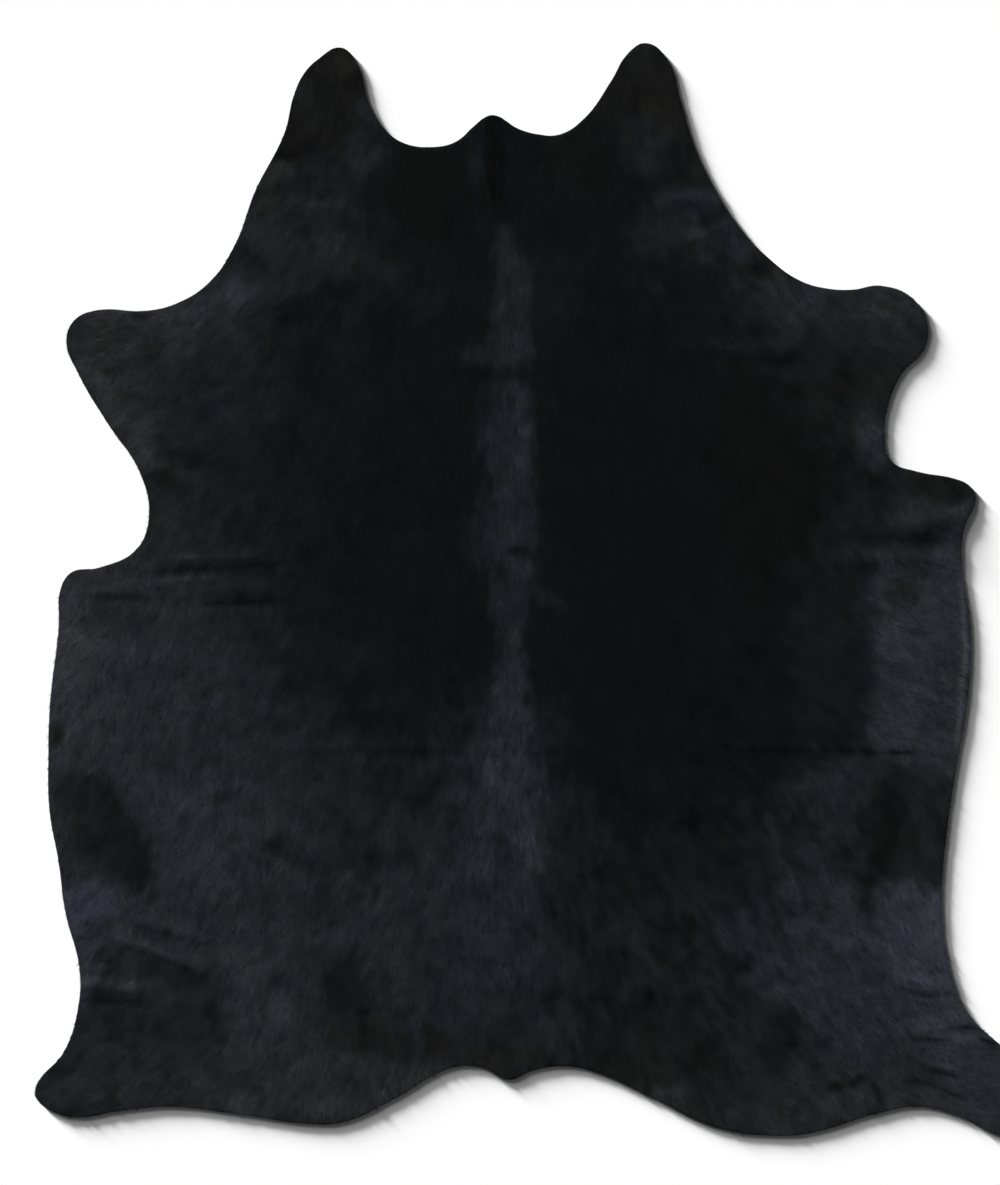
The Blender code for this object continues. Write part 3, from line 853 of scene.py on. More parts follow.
def suede_material(skin):
    """Tanned flesh side: split leather with a short, dull nap and cloudy dye."""
    material, tree, shader = new_material("suede_flesh_side", roughness=0.9, specular=0.2, sheen=0.1)
    place = add(tree, "ShaderNodeTexCoord").outputs["Object"]
    clouds = add(tree, NOISE, {"Vector": place, "Scale": 1 / DYE_CLOUD, "Detail": 4.0})
    nap = add(tree, NOISE, {"Vector": place, "Scale": 1 / NAP, "Detail": 3.0})
    tone = add(tree, MATH, {0: nap, 1: NAP_TONES, 2: clouds}, operation="MULTIPLY_ADD")
    factor = add(tree, MATH, {0: tone, 1: NAP_DARK}, operation="SUBTRACT")
    colour = add(tree, MIX, {0: factor, 6: skin.suede_dark, 7: skin.suede_light}, **BLEND)
    tree.links.new(colour.outputs[2], shader.inputs["Base Color"])
    bump = add(tree, BUMP, {"Height": nap, **NAP_BUMP})
    tree.links.new(bump.outputs["Normal"], shader.inputs["Normal"])
    return material


def edge_material(skin):
    """The knife-cut edge of the tanned skin: denser and smoother than the suede."""
    material, tree, shader = new_material("cut_leather_edge", roughness=0.7, specular=0.3)
    place = add(tree, "ShaderNodeTexCoord").outputs["Object"]
    squeezed = add(tree, "ShaderNodeMapping", {"Vector": place, "Scale": EDGE_LAYERS})
    layers = add(tree, NOISE, {"Vector": squeezed, "Scale": 1.0, "Detail": 3.0})
    colour = add(tree, MIX, {0: layers, 6: skin.edge_dark, 7: skin.edge_light}, **BLEND)
    tree.links.new(colour.outputs[2], shader.inputs["Base Color"])
    return material


class CowhideSkin(bpy.types.PropertyGroup):
    """The tanned skin under the hair."""

    thickness: bpy.props.FloatProperty(
        name="Thickness", description="Of the tanned skin without its hair",
        default=2.6 * MM, min=1 * MM, max=5 * MM, unit="LENGTH",
    )
    step: bpy.props.FloatProperty(
        name="Step", description="Between the skin's mesh points on its hair side",
        default=7.5 * MM, min=5 * MM, unit="LENGTH",
    )
    crease_step: bpy.props.FloatProperty(
        name="Crease Step", description="Between mesh points along the fine creases",
        default=4.5 * MM, min=2 * MM, unit="LENGTH",
    )
    under_step: bpy.props.FloatProperty(
        name="Underside Step", description="Between mesh points on the flesh side",
        default=26 * MM, min=8 * MM, unit="LENGTH",
    )
    suede_dark: bpy.props.FloatVectorProperty(
        name="Suede, Dark", description="Darker clouds of the flesh side",
        size=4, subtype="COLOR", default=hex_colour("#2E2F33"),
    )
    suede_light: bpy.props.FloatVectorProperty(
        name="Suede, Light", description="Lighter clouds of the flesh side",
        size=4, subtype="COLOR", default=hex_colour("#4A4B50"),
    )
    edge_dark: bpy.props.FloatVectorProperty(
        name="Edge, Dark", description="Darker layers of the cut edge",
        size=4, subtype="COLOR", default=hex_colour("#141414"),
    )
    edge_light: bpy.props.FloatVectorProperty(
        name="Edge, Light", description="Lighter layers of the cut edge",
        size=4, subtype="COLOR", default=hex_colour("#2A2A2A"),
    )


class CowhideCoat(bpy.types.PropertyGroup):
    """The short hair that lies on the skin."""

    locks: bpy.props.IntProperty(
        name="Locks", description="Locks of hair in each of the coat's parts",
        default=40500, min=1000, max=49000,
    )
    length: bpy.props.FloatProperty(
        name="Length", description="Of a lock of hair, from its root to its tip",
        default=13 * MM, min=4 * MM, unit="LENGTH",
    )
    width: bpy.props.FloatProperty(
        name="Width", description="Of a lock at its root",
        default=2.4 * MM, min=0.5 * MM, unit="LENGTH",
    )
    depth: bpy.props.FloatProperty(
        name="Depth", description="Of a lock at its root",
        default=0.45 * MM, min=0.2 * MM, unit="LENGTH",
    )
    rise: bpy.props.FloatProperty(
        name="Rise", description="Angle between a lock and the skin",
        default=math.radians(4), unit="ROTATION",
    )
    stray: bpy.props.FloatProperty(
        name="Stray", description="Most that a lock turns away from the lie of the hair",
        default=math.radians(15), unit="ROTATION",
    )
    overhang: bpy.props.FloatProperty(
        name="Overhang", description="Most that a lock reaches past the cut edge",
        default=2 * MM, min=0.0, unit="LENGTH",
    )
    dark: bpy.props.FloatVectorProperty(
        name="Dark", description="Hair at shade 0", size=4, subtype="COLOR",
        default=hex_colour("#0D0F11"),
    )
    # Hair at shade 1 is the colour of a light flank lit by painted sheen
    light: bpy.props.FloatVectorProperty(
        name="Light", description="Hair at shade 1", size=4, subtype="COLOR",
        default=hex_colour("#27282D"),
    )
    olive: bpy.props.FloatVectorProperty(
        name="Olive Cast", description="What the legs' hair is tinted with", size=4,
        subtype="COLOR", default=hex_colour("#FFFDDC"),
    )
    # The clear blue patches are painted sheen, tinted with this
    blue: bpy.props.FloatVectorProperty(
        name="Blue Cast", description="What the clear blue patches are tinted with", size=4,
        subtype="COLOR", default=hex_colour("#DCE2FF"),
    )
    tone_spread: bpy.props.FloatProperty(
        name="Tone Spread", description="How much lighter or darker single locks are",
        default=0.30, min=0.0, max=0.9,
    )
    roughness: bpy.props.FloatProperty(
        name="Roughness", description="Of the hair's gloss", default=0.5, min=0.05, max=1.0,
    )
    gloss: bpy.props.FloatProperty(
        name="Gloss", description="Specular level of the hair", default=0.03, min=0.0, max=1.0,
    )
    sheen: bpy.props.FloatProperty(
        name="Sheen", description="Soft light at grazing angles", default=0.01, min=0.0, max=1.0,
    )


class CowhideStage(bpy.types.PropertyGroup):
    """The floor, the lights and the camera."""

    floor: bpy.props.FloatProperty(
        name="Floor", description="Side of the floor", default=80.0, min=4.0, unit="LENGTH",
    )
    view_width: bpy.props.FloatProperty(
        name="View Width", description="What the picture shows from side to side",
        default=2.0, min=0.2, unit="LENGTH",
    )
    lens: bpy.props.FloatProperty(
        name="Lens", description="Focal length in mm", default=200.0, min=20.0,
    )
    key_height: bpy.props.FloatProperty(
        name="Key Height", description="Angle over the floor of the soft light on the hide",
        default=math.radians(52), unit="ROTATION",
    )
    key_size: bpy.props.FloatProperty(
        name="Key Size", description="How wide that light looks from the hide",
        default=math.radians(45), unit="ROTATION",
    )
    key_power: bpy.props.FloatProperty(
        name="Key Power", description="Of that light", default=3.8, min=0.0,
    )
    low_height: bpy.props.FloatProperty(
        name="Low Light Height", description="Angle over the floor of the floor's main light",
        default=math.radians(4.1), unit="ROTATION",
    )
    low_size: bpy.props.FloatProperty(
        name="Low Light Size", description="How wide the floor's main light looks",
        default=math.radians(5.4), unit="ROTATION",
    )
    low_power: bpy.props.FloatProperty(
        name="Low Light Power", description="Of the floor's main light", default=36.9, min=0.0,
    )
    side_height: bpy.props.FloatProperty(
        name="Side Light Height", description="Angle over the floor of the floor's second light",
        default=math.radians(12), unit="ROTATION",
    )
    side_size: bpy.props.FloatProperty(
        name="Side Light Size", description="How wide the floor's second light looks",
        default=math.radians(14), unit="ROTATION",
    )
    side_power: bpy.props.FloatProperty(
        name="Side Light Power", description="Of the floor's second light", default=3.2, min=0.0,
    )
    fill_power: bpy.props.FloatProperty(
        name="Fill Power", description="Of the room's even light", default=0.06, min=0.0,
    )


def skin_places(loop, skin):
    """Inner points of the hair side: an even grid, with a closer one along the fine creases."""
    coarse, fine = field(loop, skin.step), field(loop, skin.crease_step)
    coarse = coarse[~near_creases(coarse, skin.step / 2)]
    fine = fine[near_creases(fine, 0.0)]
    return np.vstack([coarse, fine])


def clear_of_edge(places, loop, distance):
    """The places further than a distance from the cut edge."""
    gap, _ = edge_gaps(places, loop)
    return places[gap > distance]


# The cut edge's points are this far apart, and the top's and the base's inner points keep this
# far from it
EDGE_STEP = 5 * MM
TOP_CLEAR = 0.6 * EDGE_STEP
BASE_CLEAR = 1.5 * EDGE_STEP
# The locks' reach is looked up this far in, and hair that runs along the edge counts as heading
# for it by at least this share
FAR_REACH = 60 * MM
LEAST_FACING = 0.1
# Rounds of smoothing for the model's folds
SMOOTH_ROUNDS = 3
# Heavy skin settles at its rim: a fold keeps this share of its height there, and all of it
# from this far in
RIM_HEIGHT = 0.2
RIM_REACH = 60 * MM


def settled(lift, places, loop):
    """The folds' height, less near the cut edge."""
    gap, _ = edge_gaps(places, loop)
    return lift * (RIM_HEIGHT + (1.0 - RIM_HEIGHT) * smooth_step(gap / RIM_REACH))


def skin_mesh(skin):
    """The skin as one closed sheet, with the hair's lie, shade and reach kept on its points."""
    cad = merged_cad("hide")
    loop = smooth_loop(cut_edge(cad), EDGE_STEP)
    upper = clear_of_edge(skin_places(loop, skin), loop, TOP_CLEAR)
    lower = clear_of_edge(field(loop, skin.under_step), loop, BASE_CLEAR)
    top, top_faces = triangulated(loop, upper)
    base, base_faces = triangulated(loop, lower)
    count = len(loop)
    pairs = np.vstack([top_faces[:, [0, 1]], top_faces[:, [1, 2]], top_faces[:, [2, 0]]])
    smooth = spread(floor_lift(cad, top), len(top), pairs, SMOOTH_ROUNDS)
    rise = settled(smooth, top, loop)
    relief = crease_relief(top)
    base_rise = settled(floor_lift(cad, base), base, loop)
    base_rise[:count] = rise[:count]
    cad.free()
    points = np.vstack([
        np.column_stack([top, rise + relief + skin.thickness]),
        np.column_stack([base, base_rise]),
    ])
    ahead = (np.arange(count) + 1) % count
    here = np.arange(count)
    wall = np.vstack([
        np.column_stack([here, here + len(top), ahead + len(top)]),
        np.column_stack([here, ahead + len(top), ahead]),
    ])
    faces = np.vstack([top_faces, base_faces[:, ::-1] + len(top), wall])
    mesh = bpy.data.meshes.new("hide_skin")
    mesh.from_pydata(points.tolist(), [], faces.tolist())
    sides = np.repeat([0, 1, 2], [len(top_faces), len(base_faces), len(wall)])
    mesh.polygons.foreach_set("material_index", sides.astype(np.int32))
    mesh.polygons.foreach_set("use_smooth", sides < 2)
    turn = hair_turn(points[:, :2])
    lie = lie_of(turn)
    shade, cast = hair_shade(points[:, :2], lie)
    gap, way = edge_gaps(points[:, :2], loop)
    facing = np.maximum((lie * way).sum(axis=1), LEAST_FACING)
    store(mesh, "turn", turn)
    store(mesh, "shade", shade)
    store(mesh, "cast", cast)
    store(mesh, "reach", np.minimum(gap / facing, FAR_REACH))
    store(mesh, "crest", patch_weight(points[:, :2], CREST_PATCH, CREST_BLUR))
    return mesh


# The flat maps' name, how far each keeps from its picture's edge, and how much of it is filled
MAP_NAME = "OFBake"
MAP_RIM = 0.01
MAP_SPAN = 0.98


def read(items, name, kind, width=1):
    """One value, or a few, of each of the mesh's points, corners or faces as rows."""
    values = np.empty(len(items) * width, kind)
    items.foreach_get(name, values)
    return values.reshape(-1, width)


def seen_from_above(mesh):
    """Where each face corner lies from the mesh's rear left end, and how large the mesh is."""
    corners = read(mesh.loops, "vertex_index", np.int32)[:, 0]
    flat = read(mesh.vertices, "co", np.float32, 3)[corners][:, :2]
    low, high = flat.min(axis=0), flat.max(axis=0)
    return flat - low, high - low


def keep_planar_map(mesh):
    """Maps the mesh flat from above: the hair side on the left half, the flesh side on the right."""
    layer = mesh.uv_layers.new(name=MAP_NAME)
    places, size = seen_from_above(mesh)
    share = places / size.max()
    under = np.repeat(read(mesh.polygons, "material_index", np.int32)[:, 0], 3) > 0
    share[:, 0] = MAP_RIM + (MAP_SPAN / 2 - MAP_RIM) * share[:, 0] + 0.5 * under
    share[:, 1] = MAP_RIM + MAP_SPAN * share[:, 1]
    layer.data.foreach_set("uv", share.astype(np.float32).ravel())


class COWHIDE_OT_skin(bpy.types.Operator):
    """Lays the tanned skin on the model's outline and creases"""

    bl_idname = "cowhide.skin"
    bl_label = "Lay the Skin"

    def execute(self, context):
        skin, coat = context.scene.cowhide_skin, context.scene.cowhide_coat
        mesh = skin_mesh(skin)
        for material in (root_material(coat), suede_material(skin), edge_material(skin)):
            mesh.materials.append(material)
        keep_planar_map(mesh)
        obj = bpy.data.objects.new("hide_skin", mesh)
        context.scene.collection.objects.link(obj)
        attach(obj, "root")
        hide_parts("hide")
        return {"FINISHED"}


COMB_INPUTS = (
    ("Skin", "NodeSocketGeometry"),
    ("Rear End", "NodeSocketFloat"),
    ("Head End", "NodeSocketFloat"),
    ("Locks per Area", "NodeSocketFloat"),
    ("Crest Only", "NodeSocketBool"),
    ("Length", "NodeSocketFloat"),
    ("Width", "NodeSocketFloat"),
    ("Depth", "NodeSocketFloat"),
    ("Rise", "NodeSocketFloat"),
    ("Stray", "NodeSocketFloat"),
    ("Overhang", "NodeSocketFloat"),
    ("Seed", "NodeSocketInt"),
    ("Hair", "NodeSocketMaterial"),
)
# What is drawn for each lock, between two values each: shares of the rise, the stray, the length
# and the width that are given, a roll in radians, and its own part of its tone. The seeds
# follow this order
DRAWS = (
    ("Rise", -1.5, 0.0),
    ("Stray", -1.0, 1.0),
    ("Roll", -0.35, 0.35),
    ("Length", 0.65, 1.25),
    ("Width", 0.6, 1.3),
    ("Tone", -0.8, 0.8),
)
# How much a clump's tone varies, and what share of all that the darkest hair keeps
CLUMP_TONE = 4.6
DARK_TONE = 0.32
# A clump's width and its length along the back
CLUMP_SIZE = (8 * MM, 19 * MM)
# A lock's cross section is the triangle of a three-sided cone: its width and its depth,
# in radii, and how deep its root sinks into the skin, in depths
SECTION_WIDTH = math.sqrt(3)
SECTION_DEPTH = 1.5
ROOT_SINK = 0.35
RIGHT_ANGLE = math.radians(90)
# Hair grows on faces whose unit normal rises by more than this
LEAST_UP = 0.3
# The skin is looked for from this high over the floor, and this far down
LOOK_FROM = 1.0
LOOK_DOWN = 2.0


def lock_shape(tree):
    """One lock, 1 long, 1 wide and 1 deep: a slim three-sided spike that points to the rear,
    with its ridge on top."""
    shape = add(tree, "GeometryNodeMeshCone", {"Vertices": 3, "Radius Bottom": 1.0, "Depth": 1.0})
    for change in (
        {"Rotation": (0.0, 0.0, RIGHT_ANGLE)},
        {"Rotation": (RIGHT_ANGLE, 0.0, 0.0)},
        {"Translation": (0.0, 0.0, 0.5 / SECTION_DEPTH - ROOT_SINK),
         "Scale": (1 / SECTION_WIDTH, 1.0, 1 / SECTION_DEPTH)},
    ):
        shape = add(tree, "GeometryNodeTransform", {"Geometry": shape, **change})
    place = add(tree, SPLIT, {0: add(tree, "GeometryNodeInputPosition")}).outputs
    along = add(tree, MATH, {0: place["Y"], 1: -1.0}, operation="MULTIPLY")
    return add(tree, KEEP, {"Geometry": shape, "Name": "along", "Value": along}, data_type="FLOAT")


def skin_below(tree, skin, place, kept):
    """How high the skin lies under each place, or at the nearest rim past the cut edge, and
    how light the hair is there."""
    above = add(tree, JOIN, {0: place["X"], 1: place["Y"], 2: LOOK_FROM})
    straight = add(tree, "GeometryNodeRaycast", {
        "Target Geometry": skin,
        "Source Position": above,
        "Ray Direction": (0.0, 0.0, -1.0),
        "Ray Length": LOOK_DOWN,
        "Attribute": kept["shade"],
    }).outputs
    nearby = add(tree, JOIN, {0: place["X"], 1: place["Y"], 2: kept["root_height"]})
    inputs = {"Geometry": skin, "Sample Position": nearby}
    beside = add(tree, "GeometryNodeProximity", inputs, target_element="FACES").outputs
    rim = add(tree, SPLIT, {0: beside["Position"]}).outputs["Z"]
    under = add(tree, SPLIT, {0: straight["Hit Position"]}).outputs["Z"]
    found = []
    for past_edge, on_skin in ((rim, under), (kept["shade"], straight["Attribute"])):
        inputs = {"Switch": straight["Is Hit"], "False": past_edge, "True": on_skin}
        found.append(add(tree, "GeometryNodeSwitch", inputs, input_type="FLOAT"))
    return found


def lock_tone(tree, own, shade):
    """How much lighter or darker each lock is: a part of its own, and a part that it shares
    with its clump. Dark hair varies less."""
    squeeze = (1 / CLUMP_SIZE[0], 1 / CLUMP_SIZE[1], 0.0)
    inputs = {0: add(tree, "GeometryNodeInputPosition"), 1: squeeze}
    squeezed = add(tree, VECTOR, inputs, operation="MULTIPLY")
    clumps = add(tree, NOISE, {"Vector": squeezed, "Scale": 1.0, "Detail": 2.0, "Roughness": 0.8})
    inputs = {0: clumps, 1: 2.0 * CLUMP_TONE, 2: -CLUMP_TONE}
    shared = add(tree, MATH, inputs, operation="MULTIPLY_ADD")
    least = add(tree, MATH, {0: shade, 1: 0.0}, operation="MAXIMUM")
    lit = add(tree, MATH, {0: least, 1: 1.0}, operation="MINIMUM")
    strength = add(tree, MATH, {0: lit, 1: 1.0 - DARK_TONE, 2: DARK_TONE}, operation="MULTIPLY_ADD")
    both = add(tree, MATH, {0: own, 1: shared}, operation="ADD")
    return add(tree, MATH, {0: both, 1: strength}, operation="MULTIPLY")


def comb_tree():
    """Geometry nodes that comb locks of hair over one part of the skin."""
    tree = bpy.data.node_groups.new("comb_hair", "GeometryNodeTree")
    for name, kind in COMB_INPUTS:
        tree.interface.new_socket(name, in_out="INPUT", socket_type=kind)
    tree.interface.new_socket("Coat", in_out="OUTPUT", socket_type="NodeSocketGeometry")
    given = add(tree, "NodeGroupInput").outputs
    kept = {}
    for name in ("turn", "shade", "reach", "crest", "root_height"):
        kept[name] = add(tree, NAMED, {"Name": name}, data_type="FLOAT").outputs[0]
    drawn = {}
    for i, (name, low, high) in enumerate(DRAWS):
        seed = add(tree, MATH, {0: given["Seed"], 1: float(i)}, operation="ADD")
        inputs = {2: low, 3: high, 8: seed}
        drawn[name] = add(tree, "FunctionNodeRandomValue", inputs, data_type="FLOAT").outputs[1]
    place = add(tree, SPLIT, {0: add(tree, "GeometryNodeInputPosition")}).outputs
    facing = add(tree, SPLIT, {0: add(tree, "GeometryNodeInputNormal")}).outputs

    upward = add(tree, MATH, {0: facing["Z"], 1: LEAST_UP}, operation="GREATER_THAN")
    inputs = {"Geometry": given["Skin"], "Selection": upward}
    hair_side = add(tree, "GeometryNodeSeparateGeometry", inputs, domain="FACE")
    past_rear = add(tree, MATH, {0: place["Y"], 1: given["Rear End"]}, operation="GREATER_THAN")
    before_head = add(tree, MATH, {0: place["Y"], 1: given["Head End"]}, operation="LESS_THAN")
    between = add(tree, MATH, {0: past_rear, 1: before_head}, operation="MULTIPLY")
    inputs = {"Geometry": hair_side, "Selection": between}
    part = add(tree, "GeometryNodeSeparateGeometry", inputs, domain="FACE")

    off_crest = add(tree, MATH, {0: 1.0, 1: kept["crest"]}, operation="SUBTRACT")
    wanted = add(tree, MIX, {0: given["Crest Only"], 2: off_crest, 3: kept["crest"]})
    density = add(tree, MATH, {0: given["Locks per Area"], 1: wanted}, operation="MULTIPLY")
    inputs = {"Mesh": part, "Density": density, "Seed": given["Seed"]}
    points = add(tree, "GeometryNodeDistributePointsOnFaces", inputs)
    for name, value in (
        ("tone", lock_tone(tree, drawn["Tone"], kept["shade"])),
        ("root_height", place["Z"]),
    ):
        points = add(tree, KEEP, {"Geometry": points, "Name": name, "Value": value}, data_type="FLOAT")
    level = add(tree, JOIN, {0: place["X"], 1: place["Y"], 2: 0.0})
    flat = add(tree, "GeometryNodeSetPosition", {"Geometry": points, "Position": level})

    varied = {}
    for name in ("Rise", "Stray", "Length", "Width"):
        varied[name] = add(tree, MATH, {0: given[name], 1: drawn[name]}, operation="MULTIPLY")
    heading = add(tree, MATH, {0: kept["turn"], 1: varied["Stray"]}, operation="ADD")
    angles = add(tree, JOIN, {0: varied["Rise"], 1: drawn["Roll"], 2: heading})
    longest = add(tree, MATH, {0: kept["reach"], 1: given["Overhang"]}, operation="ADD")
    long = add(tree, MATH, {0: varied["Length"], 1: longest}, operation="MINIMUM")
    locks = add(tree, "GeometryNodeInstanceOnPoints", {
        "Points": flat,
        "Instance": lock_shape(tree),
        "Rotation": add(tree, "FunctionNodeEulerToRotation", {0: angles}),
        "Scale": add(tree, JOIN, {0: varied["Width"], 1: long, 2: given["Depth"]}),
    })
    real = add(tree, "GeometryNodeRealizeInstances", {"Geometry": locks})
    height, shade = skin_below(tree, hair_side, place, kept)
    shaded = add(tree, KEEP, {"Geometry": real, "Name": "shade", "Value": shade}, data_type="FLOAT")
    lift = add(tree, JOIN, {0: 0.0, 1: 0.0, 2: height})
    lifted = add(tree, "GeometryNodeSetPosition", {"Geometry": shaded, "Offset": lift})
    inputs = {"Geometry": lifted, "Material": given["Hair"]}
    add(tree, "NodeGroupOutput", {0: add(tree, "GeometryNodeSetMaterial", inputs)})
    return tree


def combed(name, skin_obj, tree, values):
    """One part of the coat as a plain mesh object."""
    source = bpy.data.objects.new(name + "_comb", skin_obj.data)
    bpy.context.scene.collection.objects.link(source)
    modifier = source.modifiers.new("comb", "NODES")
    modifier.node_group = tree
    for socket in tree.interface.items_tree:
        if socket.in_out == "INPUT" and socket.name in values:
            modifier[socket.identifier] = values[socket.name]
    graph = bpy.context.evaluated_depsgraph_get()
    mesh = bpy.data.meshes.new_from_object(source.evaluated_get(graph))
    bpy.data.objects.remove(source)
    mesh.name = name
    for layer in ("turn", "reach", "crest", "root_height"):
        if layer in mesh.attributes:
            mesh.attributes.remove(mesh.attributes[layer])
    made = bpy.data.objects.new(name, mesh)
    bpy.context.scene.collection.objects.link(made)
    return made


def map_from_above(mesh):
    """Maps a coat part flat from above, so that a lock's colours land where it lies."""
    if MAP_NAME in mesh.uv_layers:
        mesh.uv_layers.remove(mesh.uv_layers[MAP_NAME])
    layer = mesh.uv_layers.new(name=MAP_NAME)
    places, size = seen_from_above(mesh)
    share = MAP_RIM + MAP_SPAN * places / size
    layer.data.foreach_set("uv", share.astype(np.float32).ravel())


COAT_PARTS = ("hair_rump", "hair_loins", "hair_back", "hair_shoulders", "hair_neck")
# The first part's seed, and how far the next one's is
FIRST_SEED = 20
SEED_STEP = 10
# A part with no neighbour at its end goes on this far from the model's middle
FAR_END = 9.0
# The crest's seed, its locks per square metre, and its hair, longer and coarser than the coat's
CREST_SEED = 90
CREST_LOCKS = 160000.0
CREST_HAIR = {
    "Length": 24 * MM,
    "Width": 2.8 * MM,
    "Depth": 1.0 * MM,
    "Rise": math.radians(9),
    "Stray": math.radians(20),
}


def equal_cuts(mesh, parts):
    """Y values that cut the hair side into parts of equal area, and that area."""
    top = read(mesh.polygons, "material_index", np.int32)[:, 0] == 0
    area = read(mesh.polygons, "area", float)[top, 0]
    y = read(mesh.polygons, "center", float, 3)[top, 1]
    order = np.argsort(y)
    share = np.cumsum(area[order]) / area.sum()
    cuts = [float(np.interp(i / parts, share, y[order])) for i in range(1, parts)]
    return [-FAR_END, *cuts, FAR_END], float(area.sum()) / parts


class COWHIDE_OT_coat(bpy.types.Operator):
    """Combs short hair over the skin, in parts of equal area"""

    bl_idname = "cowhide.coat"
    bl_label = "Comb the Coat"

    def execute(self, context):
        coat = context.scene.cowhide_coat
        skin_obj = bpy.data.objects["hide_skin"]
        tree, hair = comb_tree(), hair_material(coat)
        cuts, area = equal_cuts(skin_obj.data, len(COAT_PARTS))
        for i, name in enumerate(COAT_PARTS):
            part = combed(name, skin_obj, tree, {
                "Rear End": cuts[i],
                "Head End": cuts[i + 1],
                "Locks per Area": coat.locks / area,
                "Length": coat.length,
                "Width": coat.width,
                "Depth": coat.depth,
                "Rise": coat.rise,
                "Stray": coat.stray,
                "Overhang": coat.overhang,
                "Seed": FIRST_SEED + SEED_STEP * i,
                "Hair": hair,
            })
            map_from_above(part.data)
            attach(part, "root")
        return {"FINISHED"}


class COWHIDE_OT_crest(bpy.types.Operator):
    """Combs the longer, darker hair of the mane's crest"""

    bl_idname = "cowhide.crest"
    bl_label = "Comb the Crest"

    def execute(self, context):
        coat = context.scene.cowhide_coat
        skin_obj = bpy.data.objects["hide_skin"]
        crest = combed("hair_crest", skin_obj, comb_tree(), {
            "Rear End": -FAR_END,
            "Head End": FAR_END,
            "Locks per Area": CREST_LOCKS,
            "Crest Only": True,
            "Overhang": coat.overhang,
            "Seed": CREST_SEED,
            "Hair": hair_material(coat),
            **CREST_HAIR,
        })
        map_from_above(crest.data)
        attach(crest, "root")
        return {"FINISHED"}


class COWHIDE_OT_sheet(bpy.types.Operator):
    """Does nothing and finishes at once"""

    bl_idname = "cowhide.sheet"
    bl_label = "Declare the Sheet"

    def execute(self, context):
        return {"FINISHED"}


# The picture's middle, in the tables' mm, and its height over its width
VIEW_X_MM, VIEW_Y_MM = -16.0, 975.0
PICTURE_TALL = 1185 / 1000
FLOOR_COLOUR = "#F4F4F4"
WHITE = (1.0, 1.0, 1.0, 1.0)
# The room's light falls from 1 at the horizon to its least where a view's unit way rises by this
HORIZON = 0.12
CAMERA_REACH = 200.0
# Where over the floor the lights come from, as x and y
KEY_WAY = (-0.35, 1.0)
LOW_WAY = (-1.0, 1.0)


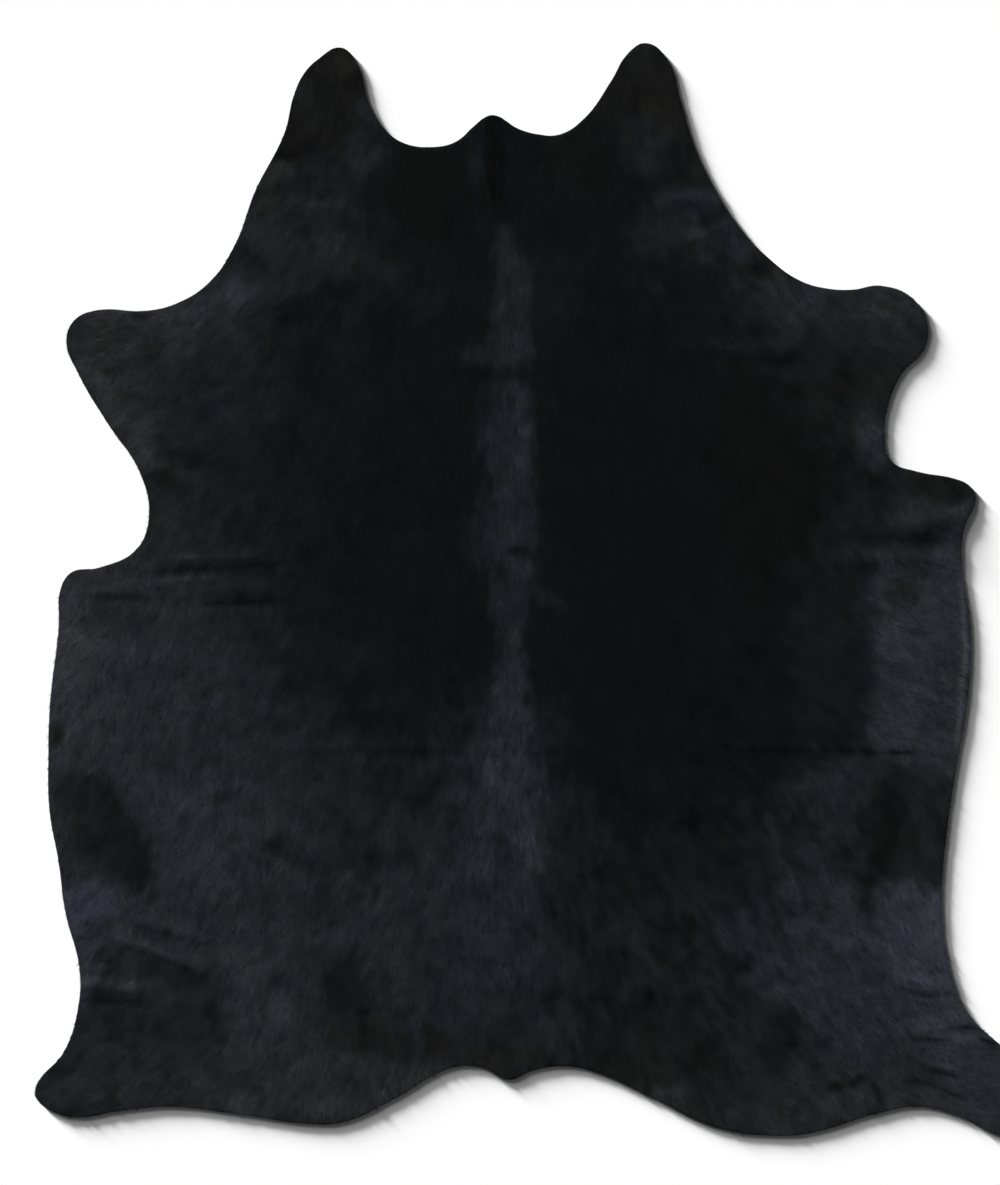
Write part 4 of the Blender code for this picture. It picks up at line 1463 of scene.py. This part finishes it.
class COWHIDE_OT_stage(bpy.types.Operator):
    """Sets the pale floor, the soft lights and the camera straight above"""

    bl_idname = "cowhide.stage"
    bl_label = "Set the Stage"

    def execute(self, context):
        stage = context.scene.cowhide_stage
        floor = self.lay_floor(stage)
        self.light_room(context, stage, floor)
        self.place_camera(context, stage)
        context.scene.view_settings.view_transform = "Standard"
        return {"FINISHED"}

    def lay_floor(self, stage):
        """A plain, matt, near-white floor."""
        bpy.ops.mesh.primitive_plane_add(size=stage.floor)
        floor = bpy.context.object
        floor.name = "floor"
        material, _, shader = new_material("matt_white_floor", roughness=0.9, specular=0.0)
        shader.inputs["Base Color"].default_value = hex_colour(FLOOR_COLOUR)
        floor.data.materials.append(material)
        return floor

    def light_room(self, context, stage, floor):
        """The hide has a large soft key light from beyond the head, so that its creases stay
        faint. The floor has two low ones from the upper left, which give the hide its soft,
        wide shadow. A pale room gives the rest, brighter towards the horizon."""
        hide = bpy.data.collections.new("hide_only")
        for obj in context.scene.objects:
            if obj.type == "MESH" and obj is not floor:
                hide.objects.link(obj)
        ground = bpy.data.collections.new("floor_only")
        ground.objects.link(floor)
        self.add_sun(context, "soft_key", KEY_WAY, stage.key_height, stage.key_power,
                     stage.key_size, hide)
        self.add_sun(context, "low_floor_light", LOW_WAY, stage.low_height, stage.low_power,
                     stage.low_size, ground)
        self.add_sun(context, "side_floor_light", LOW_WAY, stage.side_height, stage.side_power,
                     stage.side_size, ground)
        world = bpy.data.worlds.new("pale_room")
        world.use_nodes = True
        context.scene.world = world
        tree = world.node_tree
        way = add(tree, "ShaderNodeTexCoord").outputs["Generated"]
        level = add(tree, "ShaderNodeMapRange", {
            "Value": add(tree, SPLIT, {0: way}).outputs["Z"],
            "From Min": 0.0,
            "From Max": HORIZON,
            "To Min": 1.0,
            "To Max": stage.fill_power,
        }, interpolation_type="SMOOTHSTEP")
        background = tree.nodes["Background"]
        tree.links.new(level.outputs[0], background.inputs["Strength"])
        background.inputs["Color"].default_value = WHITE

    def add_sun(self, context, name, way, height, power, size, lit):
        """A distant light from a direction over the floor, for the objects that it lights."""
        light = bpy.data.lights.new(name, "SUN")
        light.energy = power
        light.angle = size
        lamp = bpy.data.objects.new(name, light)
        towards = Vector((*way, 0.0)).normalized() * math.cos(height)
        towards.z = math.sin(height)
        lamp.rotation_euler = towards.to_track_quat("Z", "Y").to_euler()
        lamp.light_linking.receiver_collection = lit
        context.scene.collection.objects.link(lamp)

    def place_camera(self, context, stage):
        """A long lens straight above, framing the hide as it was photographed."""
        camera = bpy.data.cameras.new("camera")
        camera.lens = stage.lens
        camera.clip_end = CAMERA_REACH
        seen_tall = stage.view_width * PICTURE_TALL
        height = seen_tall * stage.lens / camera.sensor_width
        x, y = in_row(VIEW_X_MM, VIEW_Y_MM)
        holder = bpy.data.objects.new("camera", camera)
        holder.location = (x, y, height)
        context.scene.collection.objects.link(holder)
        context.scene.camera = holder


class COWHIDE_PT_panel(bpy.types.Panel):
    """The rug's pieces, in the 3D view's sidebar"""

    bl_label = "Cowhide Rug"
    bl_idname = "COWHIDE_PT_panel"
    bl_space_type = "VIEW_3D"
    bl_region_type = "UI"
    bl_category = "Cowhide"

    def draw(self, context):
        scene = context.scene
        for group in (scene.cowhide_skin, scene.cowhide_coat, scene.cowhide_stage):
            box = self.layout.box()
            for name in group.__annotations__:
                box.prop(group, name)
        for operator in OPERATORS:
            self.layout.operator(operator.bl_idname)


GROUPS = (CowhideSkin, CowhideCoat, CowhideStage)
OPERATORS = (COWHIDE_OT_skin, COWHIDE_OT_coat, COWHIDE_OT_crest, COWHIDE_OT_sheet, COWHIDE_OT_stage)


def register():
    for part in (*GROUPS, *OPERATORS, COWHIDE_PT_panel):
        bpy.utils.register_class(part)
    bpy.types.Scene.cowhide_skin = bpy.props.PointerProperty(type=CowhideSkin)
    bpy.types.Scene.cowhide_coat = bpy.props.PointerProperty(type=CowhideCoat)
    bpy.types.Scene.cowhide_stage = bpy.props.PointerProperty(type=CowhideStage)


def unregister():
    for name in ("cowhide_skin", "cowhide_coat", "cowhide_stage"):
        delattr(bpy.types.Scene, name)
    for part in reversed((*GROUPS, *OPERATORS, COWHIDE_PT_panel)):
        bpy.utils.unregister_class(part)


def main():
    register()
    bpy.ops.cowhide.skin()
    bpy.ops.cowhide.coat()
    bpy.ops.cowhide.crest()
    bpy.ops.cowhide.sheet()
    bpy.ops.cowhide.stage()


if __name__ == "__main__":
    main()
